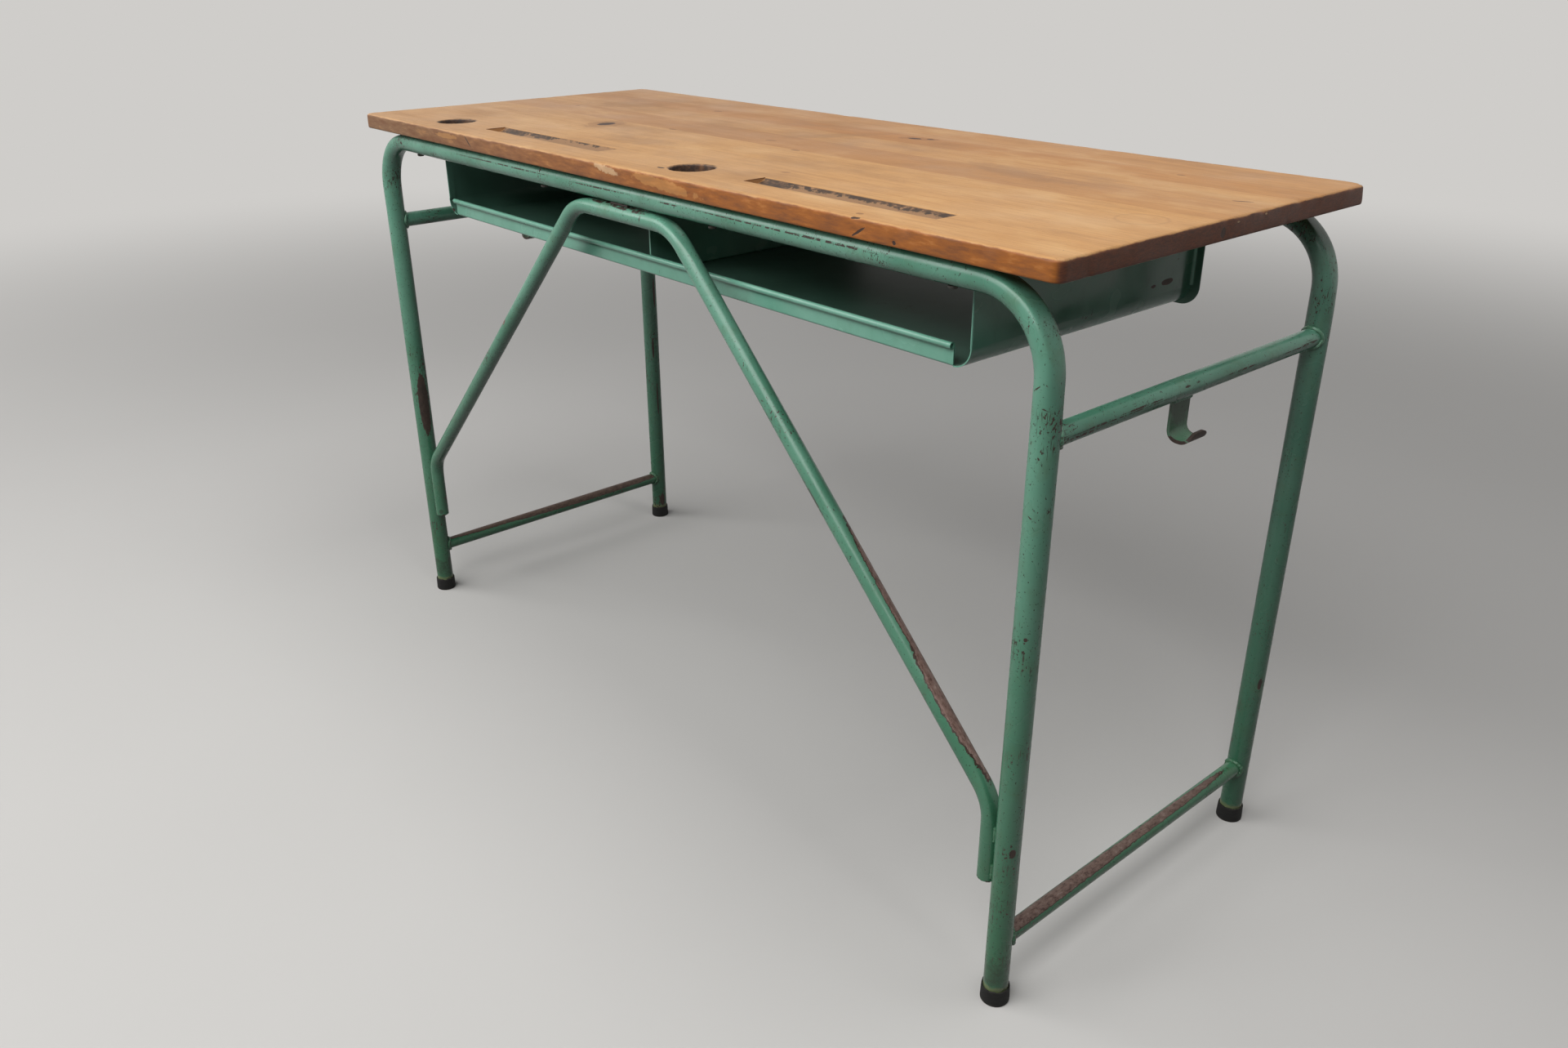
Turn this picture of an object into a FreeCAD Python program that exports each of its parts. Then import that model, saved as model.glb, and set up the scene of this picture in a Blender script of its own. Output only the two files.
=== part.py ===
import FreeCAD, Part
import math
import os
from types import SimpleNamespace

import Sketcher
from FreeCAD import Placement, Rotation, Vector

# A two-seat school desk: a solid wood top on a frame of bent steel tube, with a sheet steel book tray.
# The origin is on the floor under the middle of the desk. X runs along the desk, +Y points to the pupils'
# side, -Y to the teacher's side, where the brace, the tray's lip and the inkwells are, and Z points up.
# All sizes are in millimetres.

SIZES = {
    # Top board
    "board_length": 1200.0,
    "board_depth": 473.0,
    "board_thickness": 19.0,
    "desk_height": 746.0,
    "board_corner": 10.0,
    "board_top_round": 3.0,
    "board_bottom_round": 1.5,
    # Inkwell bores and pencil grooves: one pair for each seat
    "inkwell_bore": 48.0,
    "inkwell_from_end": 170.0,
    "inkwell_from_front": 53.5,
    "groove_from_bore": 97.0,
    "bore_from_groove": 162.0,
    "groove_from_front": 57.0,
    "groove_width": 29.0,
    "groove_depth": 5.0,
    # Front and back frames: one tube each, bent to an upside-down U
    "frame_tube": 25.0,
    "frame_wall": 2.0,
    "frame_bend": 70.0,
    "leg_from_end": 15.0,
    "frame_from_edge": 20.2,
    # Brace in the plane of the front legs
    "brace_tube": 19.0,
    "brace_wall": 1.5,
    "brace_top_span": 183.0,
    "brace_head_gap": 1.8,
    "brace_knee_height": 228.0,
    "brace_end_height": 140.0,
    "brace_top_bend": 60.0,
    "brace_knee_bend": 50.0,
    # Side rails between the front and back legs
    "upper_rail_tube": 20.0,
    "upper_rail_drop": 130.0,
    "lower_rail_tube": 18.0,
    "lower_rail_height": 75.0,
    "rail_wall": 1.5,
    # Gap left between tubes that are welded together, and the leg length of the welds
    "fit_up": 0.2,
    "weld_leg": 3.0,
    "brace_weld": 3.0,
    "brace_weld_out": 6.0,
    "brace_foot_weld": 18.0,
    "brace_foot_weld_up": 4.0,
    "brace_foot_weld_step": 44.0,
    "brace_head_weld": 34.0,
    "hook_weld": 2.9,
    # Rubber ferrules on the legs
    "ferrule_foot_wall": 2.2,
    "ferrule_mouth_wall": 1.7,
    "ferrule_height": 19.5,
    "ferrule_sole": 5.0,
    "ferrule_round": 1.0,
    "ferrule_play": 0.05,
    # Bag hooks: flat strip bent to a J, under the upper side rails
    "hook_width": 28.0,
    "hook_strip": 3.0,
    "hook_opening": 22.0,
    "hook_bend": 9.5,
    "hook_drop": 36.0,
    "hook_tip_rise": 10.0,
    "hook_tip_corner": 9.0,
    "hook_from_middle": 22.0,
    # The left hook hangs lower and behind the middle
    "left_hook_drop": 47.0,
    "left_hook_past_middle": 9.0,
    # Book tray: one folded sheet
    "sheet": 1.2,
    "tray_from_end": 123.5,
    "tray_from_front": 52.5,
    "tray_from_back": 83.5,
    "tray_height": 107.5,
    "tray_corner": 20.0,
    "tray_top_flange": 22.0,
    "tray_top_bend": 2.4,
    "tray_rim": 10.0,
    "tray_rim_bend": 4.0,
    "tray_rim_under": 1.2,
    "lip_height": 19.5,
    "lip_fold": 2.0,
    "lip_foot": 12.0,
    "lip_roll": 6.5,
    "hem_width": 9.0,
    # Divider in the middle of the tray
    "divider_flange": 18.0,
    "divider_bend": 1.8,
    "divider_gap": 0.4,
    # Screws
    "screw_shank": 4.5,
    "screw_head": 9.0,
    "screw_head_height": 3.0,
    "screw_head_round": 2.0,
    "screw_slot_width": 1.2,
    "screw_slot_depth": 1.4,
    "screw_bite": 13.0,
    "screw_play": 0.1,
    "frame_fixing_from_leg": 105.0,
    "tray_fixing_from_back": 35.0,
    "tray_fixing_from_front": 32.0,
    # How far a cutting shape runs past what it cuts
    "overrun": 5.0,
}
FRAME_SCREWS_ALONG = 4
TRAY_SCREWS_ALONG = 4
# How much of the sheet the round of a folded hem takes
HEM_ROUND_SHARE = 0.95
# Edges and points nearer than this are in the same place
CLOSE = 0.01


class Size:
    """A length or a place: its value now, and the expression that ties it to the sheet of sizes."""

    def __init__(self, value, text):
        self.value = value
        self.text = text

    def join(self, sign, other):
        number = other.value if isinstance(other, Size) else other
        text = other.text if isinstance(other, Size) else str(other)
        value = {
            "+": lambda: self.value + number,
            "-": lambda: self.value - number,
            "*": lambda: self.value * number,
            "/": lambda: self.value / number,
        }[sign]()
        return Size(value, f"({self.text} {sign} {text})")

    def __add__(self, other):
        return self.join("+", other)

    def __sub__(self, other):
        return self.join("-", other)

    def __mul__(self, other):
        return self.join("*", other)

    def __truediv__(self, other):
        return self.join("/", other)

    def __neg__(self):
        return self * -1


ZERO = Size(0, "0")
S = SimpleNamespace(**{name: Size(value, f"Sizes.{name}") for name, value in SIZES.items()})

# Places that several pieces share
board_under = S.desk_height - S.board_thickness
board_end = S.board_length / 2
board_front = -(S.board_depth / 2)
seat_pitch = (S.board_length - S.inkwell_from_end) / 2
leg_x = board_end - S.leg_from_end
frame_y = -board_front - S.frame_from_edge
frame_r = S.frame_tube / 2
frame_rail_z = board_under - frame_r
brace_r = S.brace_tube / 2
brace_leg_x = leg_x - frame_r - brace_r - S.fit_up
brace_head_z = frame_rail_z - frame_r - S.brace_head_gap - brace_r
upper_rail_z = board_under - S.upper_rail_drop
tray_front = board_front + S.tray_from_front
tray_back = -board_front - S.tray_from_back
tray_depth = tray_back - tray_front
tray_side = board_end - S.tray_from_end
tray_under = board_under - S.tray_height
tray_floor = tray_under + S.sheet
frame_screw_x = S.frame_fixing_from_leg - leg_x
frame_screw_step = frame_screw_x * (-2 / (FRAME_SCREWS_ALONG - 1))
tray_screw_x = tray_side - S.tray_top_flange / 2
tray_screw_y = tray_front + S.tray_fixing_from_front
tray_screw_run = tray_depth - S.tray_fixing_from_front - S.tray_fixing_from_back
tray_screw_step = tray_screw_run / (TRAY_SCREWS_ALONG - 1)
divider_front = tray_front + S.sheet + S.divider_gap
divider_screw_x = -(S.divider_flange / 2)

doc = FreeCAD.newDocument("school_desk")


def make_sheet():
    sheet = doc.addObject("Spreadsheet::Sheet", "Sizes")
    for row, (name, value) in enumerate(SIZES.items(), start=1):
        sheet.set(f"A{row}", name)
        sheet.set(f"B{row}", str(value))
        sheet.setAlias(f"B{row}", name)
    doc.recompute()


def bind(thing, **places):
    """Ties each named property to a size."""
    for name, size in places.items():
        thing.setExpression(name.replace("__", "."), size.text)


def new_body(label):
    body = doc.addObject("PartDesign::Body", label)
    body.Label = label
    return body


def origin_feature(body, role):
    return next(f for f in body.Origin.OriginFeatures if f.Role == role)


def new_sketch(body, name, role, offset=ZERO):
    """A sketch on one of the body's origin planes, moved along the plane's normal by the offset."""
    sketch = body.newObject("Sketcher::SketchObject", f"{body.Label}_{name}")
    sketch.AttachmentSupport = [(origin_feature(body, role), "")]
    sketch.MapMode = "FlatFace"
    bind(sketch, AttachmentOffset__Base__z=offset)
    return sketch


def pin_point(sketch, geometry, end, x, y):
    """Holds a point of the sketch at x, y."""
    for kind, size in (("DistanceX", x), ("DistanceY", y)):
        index = sketch.addConstraint(
            Sketcher.Constraint(kind, -1, 1, geometry, end, size.value)
        )
        sketch.setExpression(f"Constraints[{index}]", size.text)


def flat(corner):
    return Vector(corner[0].value, corner[1].value, 0)


def bend_arc(before, corner, after, radius):
    """The arc that rounds a corner: its shape, where it starts and ends, and whether it turns left."""
    inward = (flat(before) - flat(corner)).normalize()
    onward = (flat(after) - flat(corner)).normalize()
    half = inward.getAngle(onward) / 2
    start = flat(corner) + inward * (radius.value / math.tan(half))
    end = flat(corner) + onward * (radius.value / math.tan(half))
    middle = (inward + onward).normalize()
    centre = flat(corner) + middle * (radius.value / math.sin(half))
    turns_left = (inward * -1).cross(onward).z > 0
    first, last = (start, end) if turns_left else (end, start)
    circle = Part.Circle(centre, Vector(0, 0, 1), radius.value)
    arc = Part.ArcOfCircle(circle, circle.parameter(first), circle.parameter(last))
    return arc, start, end, turns_left


def draw_line(sketch, corners, closed=False):
    """Straight runs through the corners (x, y, radius or None), tangent arcs where there is a radius."""
    count = len(corners)
    bends = {}
    for index, corner in enumerate(corners):
        is_end = not closed and index in (0, count - 1)
        if corner[2] is not None and not is_end:
            before, after = corners[index - 1], corners[(index + 1) % count]
            bends[index] = bend_arc(before, corner, after, corner[2])
    runs = []
    for index in range(count if closed else count - 1):
        after = (index + 1) % count
        start = bends[index][2] if index in bends else flat(corners[index])
        end = bends[after][1] if after in bends else flat(corners[after])
        runs.append(sketch.addGeometry(Part.LineSegment(start, end)))
    for index, corner in enumerate(corners):
        if not closed and index == 0:
            pin_point(sketch, runs[0], 1, corner[0], corner[1])
            continue
        if not closed and index == count - 1:
            pin_point(sketch, runs[-1], 2, corner[0], corner[1])
            continue
        into, out = runs[index - 1], runs[index % len(runs)]
        if index not in bends:
            sketch.addConstraint(Sketcher.Constraint("Coincident", into, 2, out, 1))
            pin_point(sketch, out, 1, corner[0], corner[1])
            continue
        shape, _, _, turns_left = bends[index]
        arc = sketch.addGeometry(shape)
        arc_in, arc_out = (1, 2) if turns_left else (2, 1)
        sketch.addConstraint(Sketcher.Constraint("Tangent", into, 2, arc, arc_in))
        sketch.addConstraint(Sketcher.Constraint("Tangent", arc, arc_out, out, 1))
        radius = sketch.addConstraint(Sketcher.Constraint("Radius", arc, corner[2].value))
        sketch.setExpression(f"Constraints[{radius}]", corner[2].text)
        tip = sketch.addGeometry(Part.Point(flat(corner)), True)
        pin_point(sketch, tip, 1, corner[0], corner[1])
        sketch.addConstraint(Sketcher.Constraint("PointOnObject", tip, 1, into))
        sketch.addConstraint(Sketcher.Constraint("PointOnObject", tip, 1, out))


def draw_rectangle(sketch, left, right, low, high):
    draw_line(
        sketch,
        [(left, low, None), (right, low, None), (right, high, None), (left, high, None)],
        closed=True,
    )


def draw_circle(sketch, x, y, radius):
    circle = sketch.addGeometry(
        Part.Circle(Vector(x.value, y.value, 0), Vector(0, 0, 1), radius.value)
    )
    pin_point(sketch, circle, 3, x, y)
    index = sketch.addConstraint(Sketcher.Constraint("Radius", circle, radius.value))
    sketch.setExpression(f"Constraints[{index}]", radius.text)


def draw_strip(sketch, corners, thickness):
    """The outline of a sheet seen on edge: it follows the corners, which lie square to each other."""
    half = thickness / 2

    def heading(index):
        run = flat(corners[index + 1]) - flat(corners[index])
        return run.normalize()

    sides = {1: [], -1: []}
    last = len(corners) - 1
    for index, (x, y, radius) in enumerate(corners):
        into = heading(index - 1) if index > 0 else None
        out = heading(index) if index < last else None
        # The sum of the left normals of the runs that meet here
        shift_x = sum(-round(run.y) for run in (into, out) if run)
        shift_y = sum(round(run.x) for run in (into, out) if run)
        left_turn = into is not None and out is not None and into.cross(out).z > 0
        for side, points in sides.items():
            inner = left_turn == (side == 1)
            if radius is None:
                bend = None
            elif inner:
                bend = radius - half
            else:
                bend = radius + half
            points.append((x + half * (side * shift_x), y + half * (side * shift_y), bend))
    draw_line(sketch, sides[-1] + sides[1][::-1], closed=True)


def pad(body, sketch, length, middle=False, back=False):
    feature = body.newObject("PartDesign::Pad", sketch.Name.replace("sketch", "pad"))
    feature.Profile = sketch
    bind(feature, Length=length)
    feature.SideType = "Symmetric" if middle else "One side"
    feature.Reversed = back
    doc.recompute()
    return feature


def pocket(body, sketch, length=None, middle=False, back=False):
    """Cuts the sketch out of the body; without a length it cuts right through. It must take something off."""
    full = body.Shape.Volume
    feature = body.newObject("PartDesign::Pocket", sketch.Name.replace("sketch", "cut"))
    feature.Profile = sketch
    if length is None:
        feature.Type = "ThroughAll"
    else:
        bind(feature, Length=length)
    feature.SideType = "Symmetric" if middle else "One side"
    feature.Reversed = back
    doc.recompute()
    if not body.Shape.Volume < full:
        raise ValueError(f"{feature.Label} takes nothing off")
    return feature


def pipe(body, kind, profile, spine):
    feature = body.newObject(kind, f"{profile.Name}_pipe")
    feature.Profile = profile
    feature.Spine = (spine, [])
    doc.recompute()
    return feature


def pattern(body, features, role, length, count):
    feature = body.newObject("PartDesign::LinearPattern", f"{body.Label}_row")
    feature.Originals = features
    feature.Direction = (origin_feature(body, role), [""])
    bind(feature, Length=length)
    feature.Occurrences = count
    body.Tip = feature
    doc.recompute()
    return feature


def edges_where(shape, test):
    return [f"Edge{n}" for n, edge in enumerate(shape.Edges, start=1) if test(edge)]


def round_edges(body, base, names, radius):
    feature = body.newObject("PartDesign::Fillet", f"{body.Label}_round")
    feature.Base = (base, names)
    bind(feature, Radius=radius)
    doc.recompute()
    return feature


def make_top_board():
    """A solid wood panel with worn round edges, two inkwell bores right through and two pencil grooves."""
    body = new_body("top_board")
    panel = new_sketch(body, "panel_sketch", "XY_Plane", board_under)
    corner = S.board_corner
    draw_line(
        panel,
        [
            (-board_end, board_front, corner),
            (board_end, board_front, corner),
            (board_end, -board_front, corner),
            (-board_end, -board_front, corner),
        ],
        closed=True,
    )
    plank = pad(body, panel, S.board_thickness)

    def at_height(height):
        return lambda edge: all(abs(v.Z - height.value) < CLOSE for v in edge.Vertexes)

    top_edges = edges_where(plank.Shape, at_height(S.desk_height))
    rounded = round_edges(body, plank, top_edges, S.board_top_round)
    low_edges = edges_where(rounded.Shape, at_height(board_under))
    round_edges(body, rounded, low_edges, S.board_bottom_round)

    bore_x = S.inkwell_from_end - board_end
    bore = new_sketch(body, "bore_sketch", "XY_Plane", S.desk_height)
    draw_circle(bore, bore_x, board_front + S.inkwell_from_front, S.inkwell_bore / 2)
    bore_cut = pocket(body, bore)

    # The groove's section is a shallow segment of a circle, as wide and as deep as the named sizes say
    half_width = S.groove_width / 2
    radius = (half_width * half_width + S.groove_depth * S.groove_depth) / (S.groove_depth * 2)
    groove = new_sketch(body, "groove_sketch", "YZ_Plane", bore_x + S.groove_from_bore)
    draw_circle(
        groove,
        board_front + S.groove_from_front,
        S.desk_height - S.groove_depth + radius,
        radius,
    )
    groove_length = seat_pitch - S.groove_from_bore - S.bore_from_groove
    groove_cut = pocket(body, groove, groove_length, back=True)
    pattern(body, [bore_cut, groove_cut], "X_Axis", seat_pitch, 2)
    make_blind_holes(body)
    return body


def make_blind_holes(body):
    """Holes for the screws, from below into the board: frame, tray and divider screws."""
    shank = S.screw_shank / 2 + S.screw_play
    frame_rows = [(frame_screw_x + frame_screw_step * n) for n in range(FRAME_SCREWS_ALONG)]
    tray_rows = [(tray_screw_y + tray_screw_step * n) for n in range(TRAY_SCREWS_ALONG)]
    places = {
        "frame": [(x, frame_y * end) for x in frame_rows for end in (-1, 1)],
        "tray": [(tray_screw_x * end, y) for y in tray_rows for end in (-1, 1)],
        "divider": [(divider_screw_x, y) for y in (tray_rows[0], tray_rows[-1])],
    }
    for name, points in places.items():
        holes = new_sketch(body, f"{name}_hole_sketch", "XY_Plane", board_under)
        for x, y in points:
            draw_circle(holes, x, y, shank)
        pocket(body, holes, S.screw_bite + S.screw_play, back=True)


def make_bent_tube(label, corners, diameter, wall):
    """A tube bent along the corners, which lie in the XZ plane. Its first end faces down."""
    body = new_body(label)
    spine = new_sketch(body, "spine_sketch", "XZ_Plane")
    draw_line(spine, corners)
    start_x, start_z = corners[0][0], corners[0][1]
    outer = new_sketch(body, "outer_sketch", "XY_Plane", start_z)
    draw_circle(outer, start_x, ZERO, diameter / 2)
    doc.recompute()
    pipe(body, "PartDesign::AdditivePipe", outer, spine)
    inner = new_sketch(body, "inner_sketch", "XY_Plane", start_z)
    draw_circle(inner, start_x, ZERO, diameter / 2 - wall)
    doc.recompute()
    pipe(body, "PartDesign::SubtractivePipe", inner, spine)
    return body


def make_frame(label, side):
    """One of the two frames: legs and rail in one bent tube, drilled upwards for the board screws."""
    corners = [
        (-leg_x, S.ferrule_sole, None),
        (-leg_x, frame_rail_z, S.frame_bend),
        (leg_x, frame_rail_z, S.frame_bend),
        (leg_x, S.ferrule_sole, None),
    ]
    body = make_bent_tube(label, corners, S.frame_tube, S.frame_wall)
    holes = new_sketch(body, "hole_sketch", "XY_Plane", frame_rail_z)
    for index in range(FRAME_SCREWS_ALONG):
        place = frame_screw_x + frame_screw_step * index
        draw_circle(holes, place, ZERO, S.screw_shank / 2 + S.screw_play)
    pocket(body, holes, S.frame_tube + S.overrun, middle=True)
    bind(body, Placement__Base__y=frame_y * side)
    return body


def make_brace():
    """The thinner bent tube in the plane of the front legs, welded to them and under the rail."""
    span = S.brace_top_span / 2
    corners = [
        (-brace_leg_x, S.brace_end_height, None),
        (-brace_leg_x, S.brace_knee_height, S.brace_knee_bend),
        (-span, brace_head_z, S.brace_top_bend),
        (span, brace_head_z, S.brace_top_bend),
        (brace_leg_x, S.brace_knee_height, S.brace_knee_bend),
        (brace_leg_x, S.brace_end_height, None),
    ]
    body = make_bent_tube("front_brace", corners, S.brace_tube, S.brace_wall)
    bind(body, Placement__Base__y=-frame_y)
    return body


def cylinder(label, radius, height, x, y, z, axis="Z"):
    """A cylinder from x, y, z along an axis of the desk."""
    shape = doc.addObject("Part::Cylinder", label)
    bind(shape, Radius=radius, Height=height)
    turns = {
        "X": Rotation(Vector(0, 1, 0), 90),
        "Y": Rotation(Vector(1, 0, 0), -90),
        "Z": Rotation(),
    }
    shape.Placement = Placement(Vector(x.value, y.value, z.value), turns[axis])
    bind(shape, Placement__Base__x=x, Placement__Base__y=y, Placement__Base__z=z)
    return shape


def leg_cylinder(label, x, y, low, high, radius):
    return cylinder(label, radius, high - low, x, y, low)


def cut(label, base, tools):
    """The base less all the tools."""
    together = doc.addObject("Part::MultiFuse", f"{label}_tools")
    together.Shapes = tools
    result = doc.addObject("Part::Cut", label)
    result.Base = base
    result.Tool = together
    result.Label = label
    return result


def make_side_rail(label, side, tube, height):
    """A straight tube from leg to leg, with its ends cut to fit round them."""
    radius = tube / 2
    x = leg_x * side
    length = frame_y * 2
    outer = cylinder(f"{label}_outer", radius, length, x, -frame_y, height, "Y")
    inner = cylinder(f"{label}_inner", radius - S.rail_wall, length, x, -frame_y, height, "Y")
    low, high = height - tube, height + tube
    legs = [
        leg_cylinder(f"{label}_{name}_leg", x, frame_y * end, low, high, frame_r + S.fit_up)
        for name, end in (("front", -1), ("back", 1))
    ]
    return cut(label, outer, [inner, *legs])


def make_rail_welds(label, tube, height):
    """The four beads round the ends of a pair of side rails: each follows the saddle between rail and leg."""
    radius = tube / 2
    reach = frame_r + S.weld_leg
    beads = []
    for side_name, side in (("left", -1), ("right", 1)):
        for end_name, end in (("front", -1), ("back", 1)):
            name = f"{label}_{side_name}_{end_name}"
            x, y = leg_x * side, frame_y * end
            low, high = height - tube, height + tube
            start = y if end < 0 else y - reach - S.overrun
            length = reach + S.overrun
            sleeve = cylinder(f"{name}_sleeve", radius + S.weld_leg, length, x, start, height, "Y")
            collar = leg_cylinder(f"{name}_collar", x, y, low, high, reach)
            bead = doc.addObject("Part::MultiCommon", f"{name}_bead")
            bead.Shapes = [sleeve, collar]
            rail = cylinder(f"{name}_rail", radius, length + S.overrun, x, start, height, "Y")
            leg = leg_cylinder(f"{name}_leg", x, y, low, high, frame_r)
            beads.append(cut(f"{name}_weld", bead, [rail, leg]))
    return gather(label, beads)


def gather(label, pieces):
    """Like pieces as one node of separate solids."""
    group = doc.addObject("Part::Compound", label)
    group.Label = label
    group.Links = pieces
    return group


def make_brace_welds():
    """Short beads in the creases between the brace and the frame, in front and behind."""
    beads = []
    for side_name, side in (("left", -1), ("right", 1)):
        crease = (leg_x - frame_r - S.fit_up / 2) * side
        for end_name, end in (("front", -1), ("back", 1)):
            for step in range(2):
                name = f"brace_{side_name}_{end_name}_{step}"
                low = S.brace_end_height + S.brace_foot_weld_up + S.brace_foot_weld_step * step
                high = low + S.brace_foot_weld
                middle = S.brace_weld_out * end - frame_y
                core = leg_cylinder(f"{name}_core", crease, middle, low, high, S.brace_weld)
                leg = leg_cylinder(f"{name}_leg", leg_x * side, -frame_y, low, high, frame_r)
                tube = leg_cylinder(
                    f"{name}_tube", brace_leg_x * side, -frame_y, low, high, brace_r
                )
                beads.append(cut(f"{name}_weld", core, [leg, tube]))
    length = S.brace_head_weld
    crease_z = frame_rail_z - frame_r - S.brace_head_gap / 2
    for end_name, end in (("front", -1), ("back", 1)):
        places = (
            ("core", S.brace_weld, S.brace_weld_out * end - frame_y, crease_z),
            ("rail", frame_r, -frame_y, frame_rail_z),
            ("tube", brace_r, -frame_y, brace_head_z),
        )
        core, rail, tube = (
            cylinder(f"brace_head_{end_name}_{part}", radius, length, -(length / 2), y, z, "X")
            for part, radius, y, z in places
        )
        beads.append(cut(f"brace_head_{end_name}_weld", core, [rail, tube]))
    return gather("brace_welds", beads)


def make_ferrule(label, x, y):
    """A rubber cap pushed on the end of a leg; it widens a little to the floor."""
    body = new_body(label)
    profile = new_sketch(body, "profile_sketch", "XZ_Plane")
    bore = frame_r + S.ferrule_play
    draw_line(
        profile,
        [
            (ZERO, ZERO, None),
            (bore + S.ferrule_foot_wall, ZERO, S.ferrule_round),
            (bore + S.ferrule_mouth_wall, S.ferrule_height, S.ferrule_round / 2),
            (bore, S.ferrule_height, None),
            (bore, S.ferrule_sole, None),
            (ZERO, S.ferrule_sole, None),
        ],
        closed=True,
    )
    turned = body.newObject("PartDesign::Revolution", f"{label}_turned")
    turned.Profile = profile
    turned.ReferenceAxis = (profile, ["V_Axis"])
    turned.Angle = 360
    bind(body, Placement__Base__x=x, Placement__Base__y=y)
    doc.recompute()
    return body


def hook_places(side):
    """The hook's strip line and its bends, seen along the desk's depth, and the middle of its strip."""
    top = upper_rail_z - S.upper_rail_tube / 2 - S.fit_up
    left = side < 0
    drop = S.left_hook_drop if left else S.hook_drop
    middle = S.left_hook_past_middle if left else -S.hook_from_middle
    stem = leg_x * side
    tip = (leg_x + S.hook_opening) * side
    return stem, tip, top, top - drop, middle


def make_bag_hook(label, side):
    """Flat strip bent to a J that opens away from the desk, with its tip corners rounded."""
    body = new_body(label)
    stem, tip, top, low, middle = hook_places(side)
    outline = new_sketch(body, "strip_sketch", "XZ_Plane")
    draw_strip(
        outline,
        [
            (stem, top, None),
            (stem, low, S.hook_bend),
            (tip, low, S.hook_bend),
            (tip, low + S.hook_tip_rise, None),
        ],
        S.hook_strip,
    )
    pad(body, outline, S.hook_width, middle=True)
    corners = new_sketch(body, "corner_sketch", "YZ_Plane", tip)
    tip_z = low + S.hook_tip_rise
    over = tip_z + S.overrun
    for end in (-1, 1):
        edge, beyond = S.hook_width / 2 * end, (S.hook_width / 2 + S.overrun) * end
        flat_end = (S.hook_width / 2 - S.hook_tip_corner) / 2 * end
        draw_line(
            corners,
            [
                (edge, tip_z, S.hook_tip_corner),
                (edge, low, None),
                (beyond, low, None),
                (beyond, over, None),
                (flat_end, over, None),
                (flat_end, tip_z, None),
            ],
            closed=True,
        )
    pocket(body, corners, S.hook_opening, middle=True)
    bind(body, Placement__Base__y=middle)
    return body


def make_hook_welds():
    """A bead on each face of the hooks' strips, where they meet the rails."""
    beads = []
    for name, side in (("left", -1), ("right", 1)):
        stem, _, top, low, middle = hook_places(side)
        start = middle - S.hook_width / 2
        core, rail = (
            cylinder(f"hook_{name}_{part}", radius, S.hook_width, stem, start, z, "Y")
            for part, radius, z in (
                ("core", S.hook_weld, top),
                ("rail", S.upper_rail_tube / 2, upper_rail_z),
            )
        )
        strip = doc.addObject("Part::Box", f"hook_{name}_strip")
        bind(
            strip,
            Length=S.hook_strip,
            Width=S.hook_width + S.overrun * 2,
            Height=top - low,
            Placement__Base__x=stem - S.hook_strip / 2,
            Placement__Base__y=start - S.overrun,
            Placement__Base__z=low,
        )
        above = doc.addObject("Part::Box", f"hook_{name}_above")
        bind(
            above,
            Length=S.hook_strip,
            Width=S.hook_width + S.overrun * 2,
            Height=S.overrun,
            Placement__Base__x=stem - S.hook_strip / 2,
            Placement__Base__y=start - S.overrun,
            Placement__Base__z=top,
        )
        beads.append(cut(f"hook_{name}_weld", core, [rail, strip, above]))
    return gather("hook_welds", beads)


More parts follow.
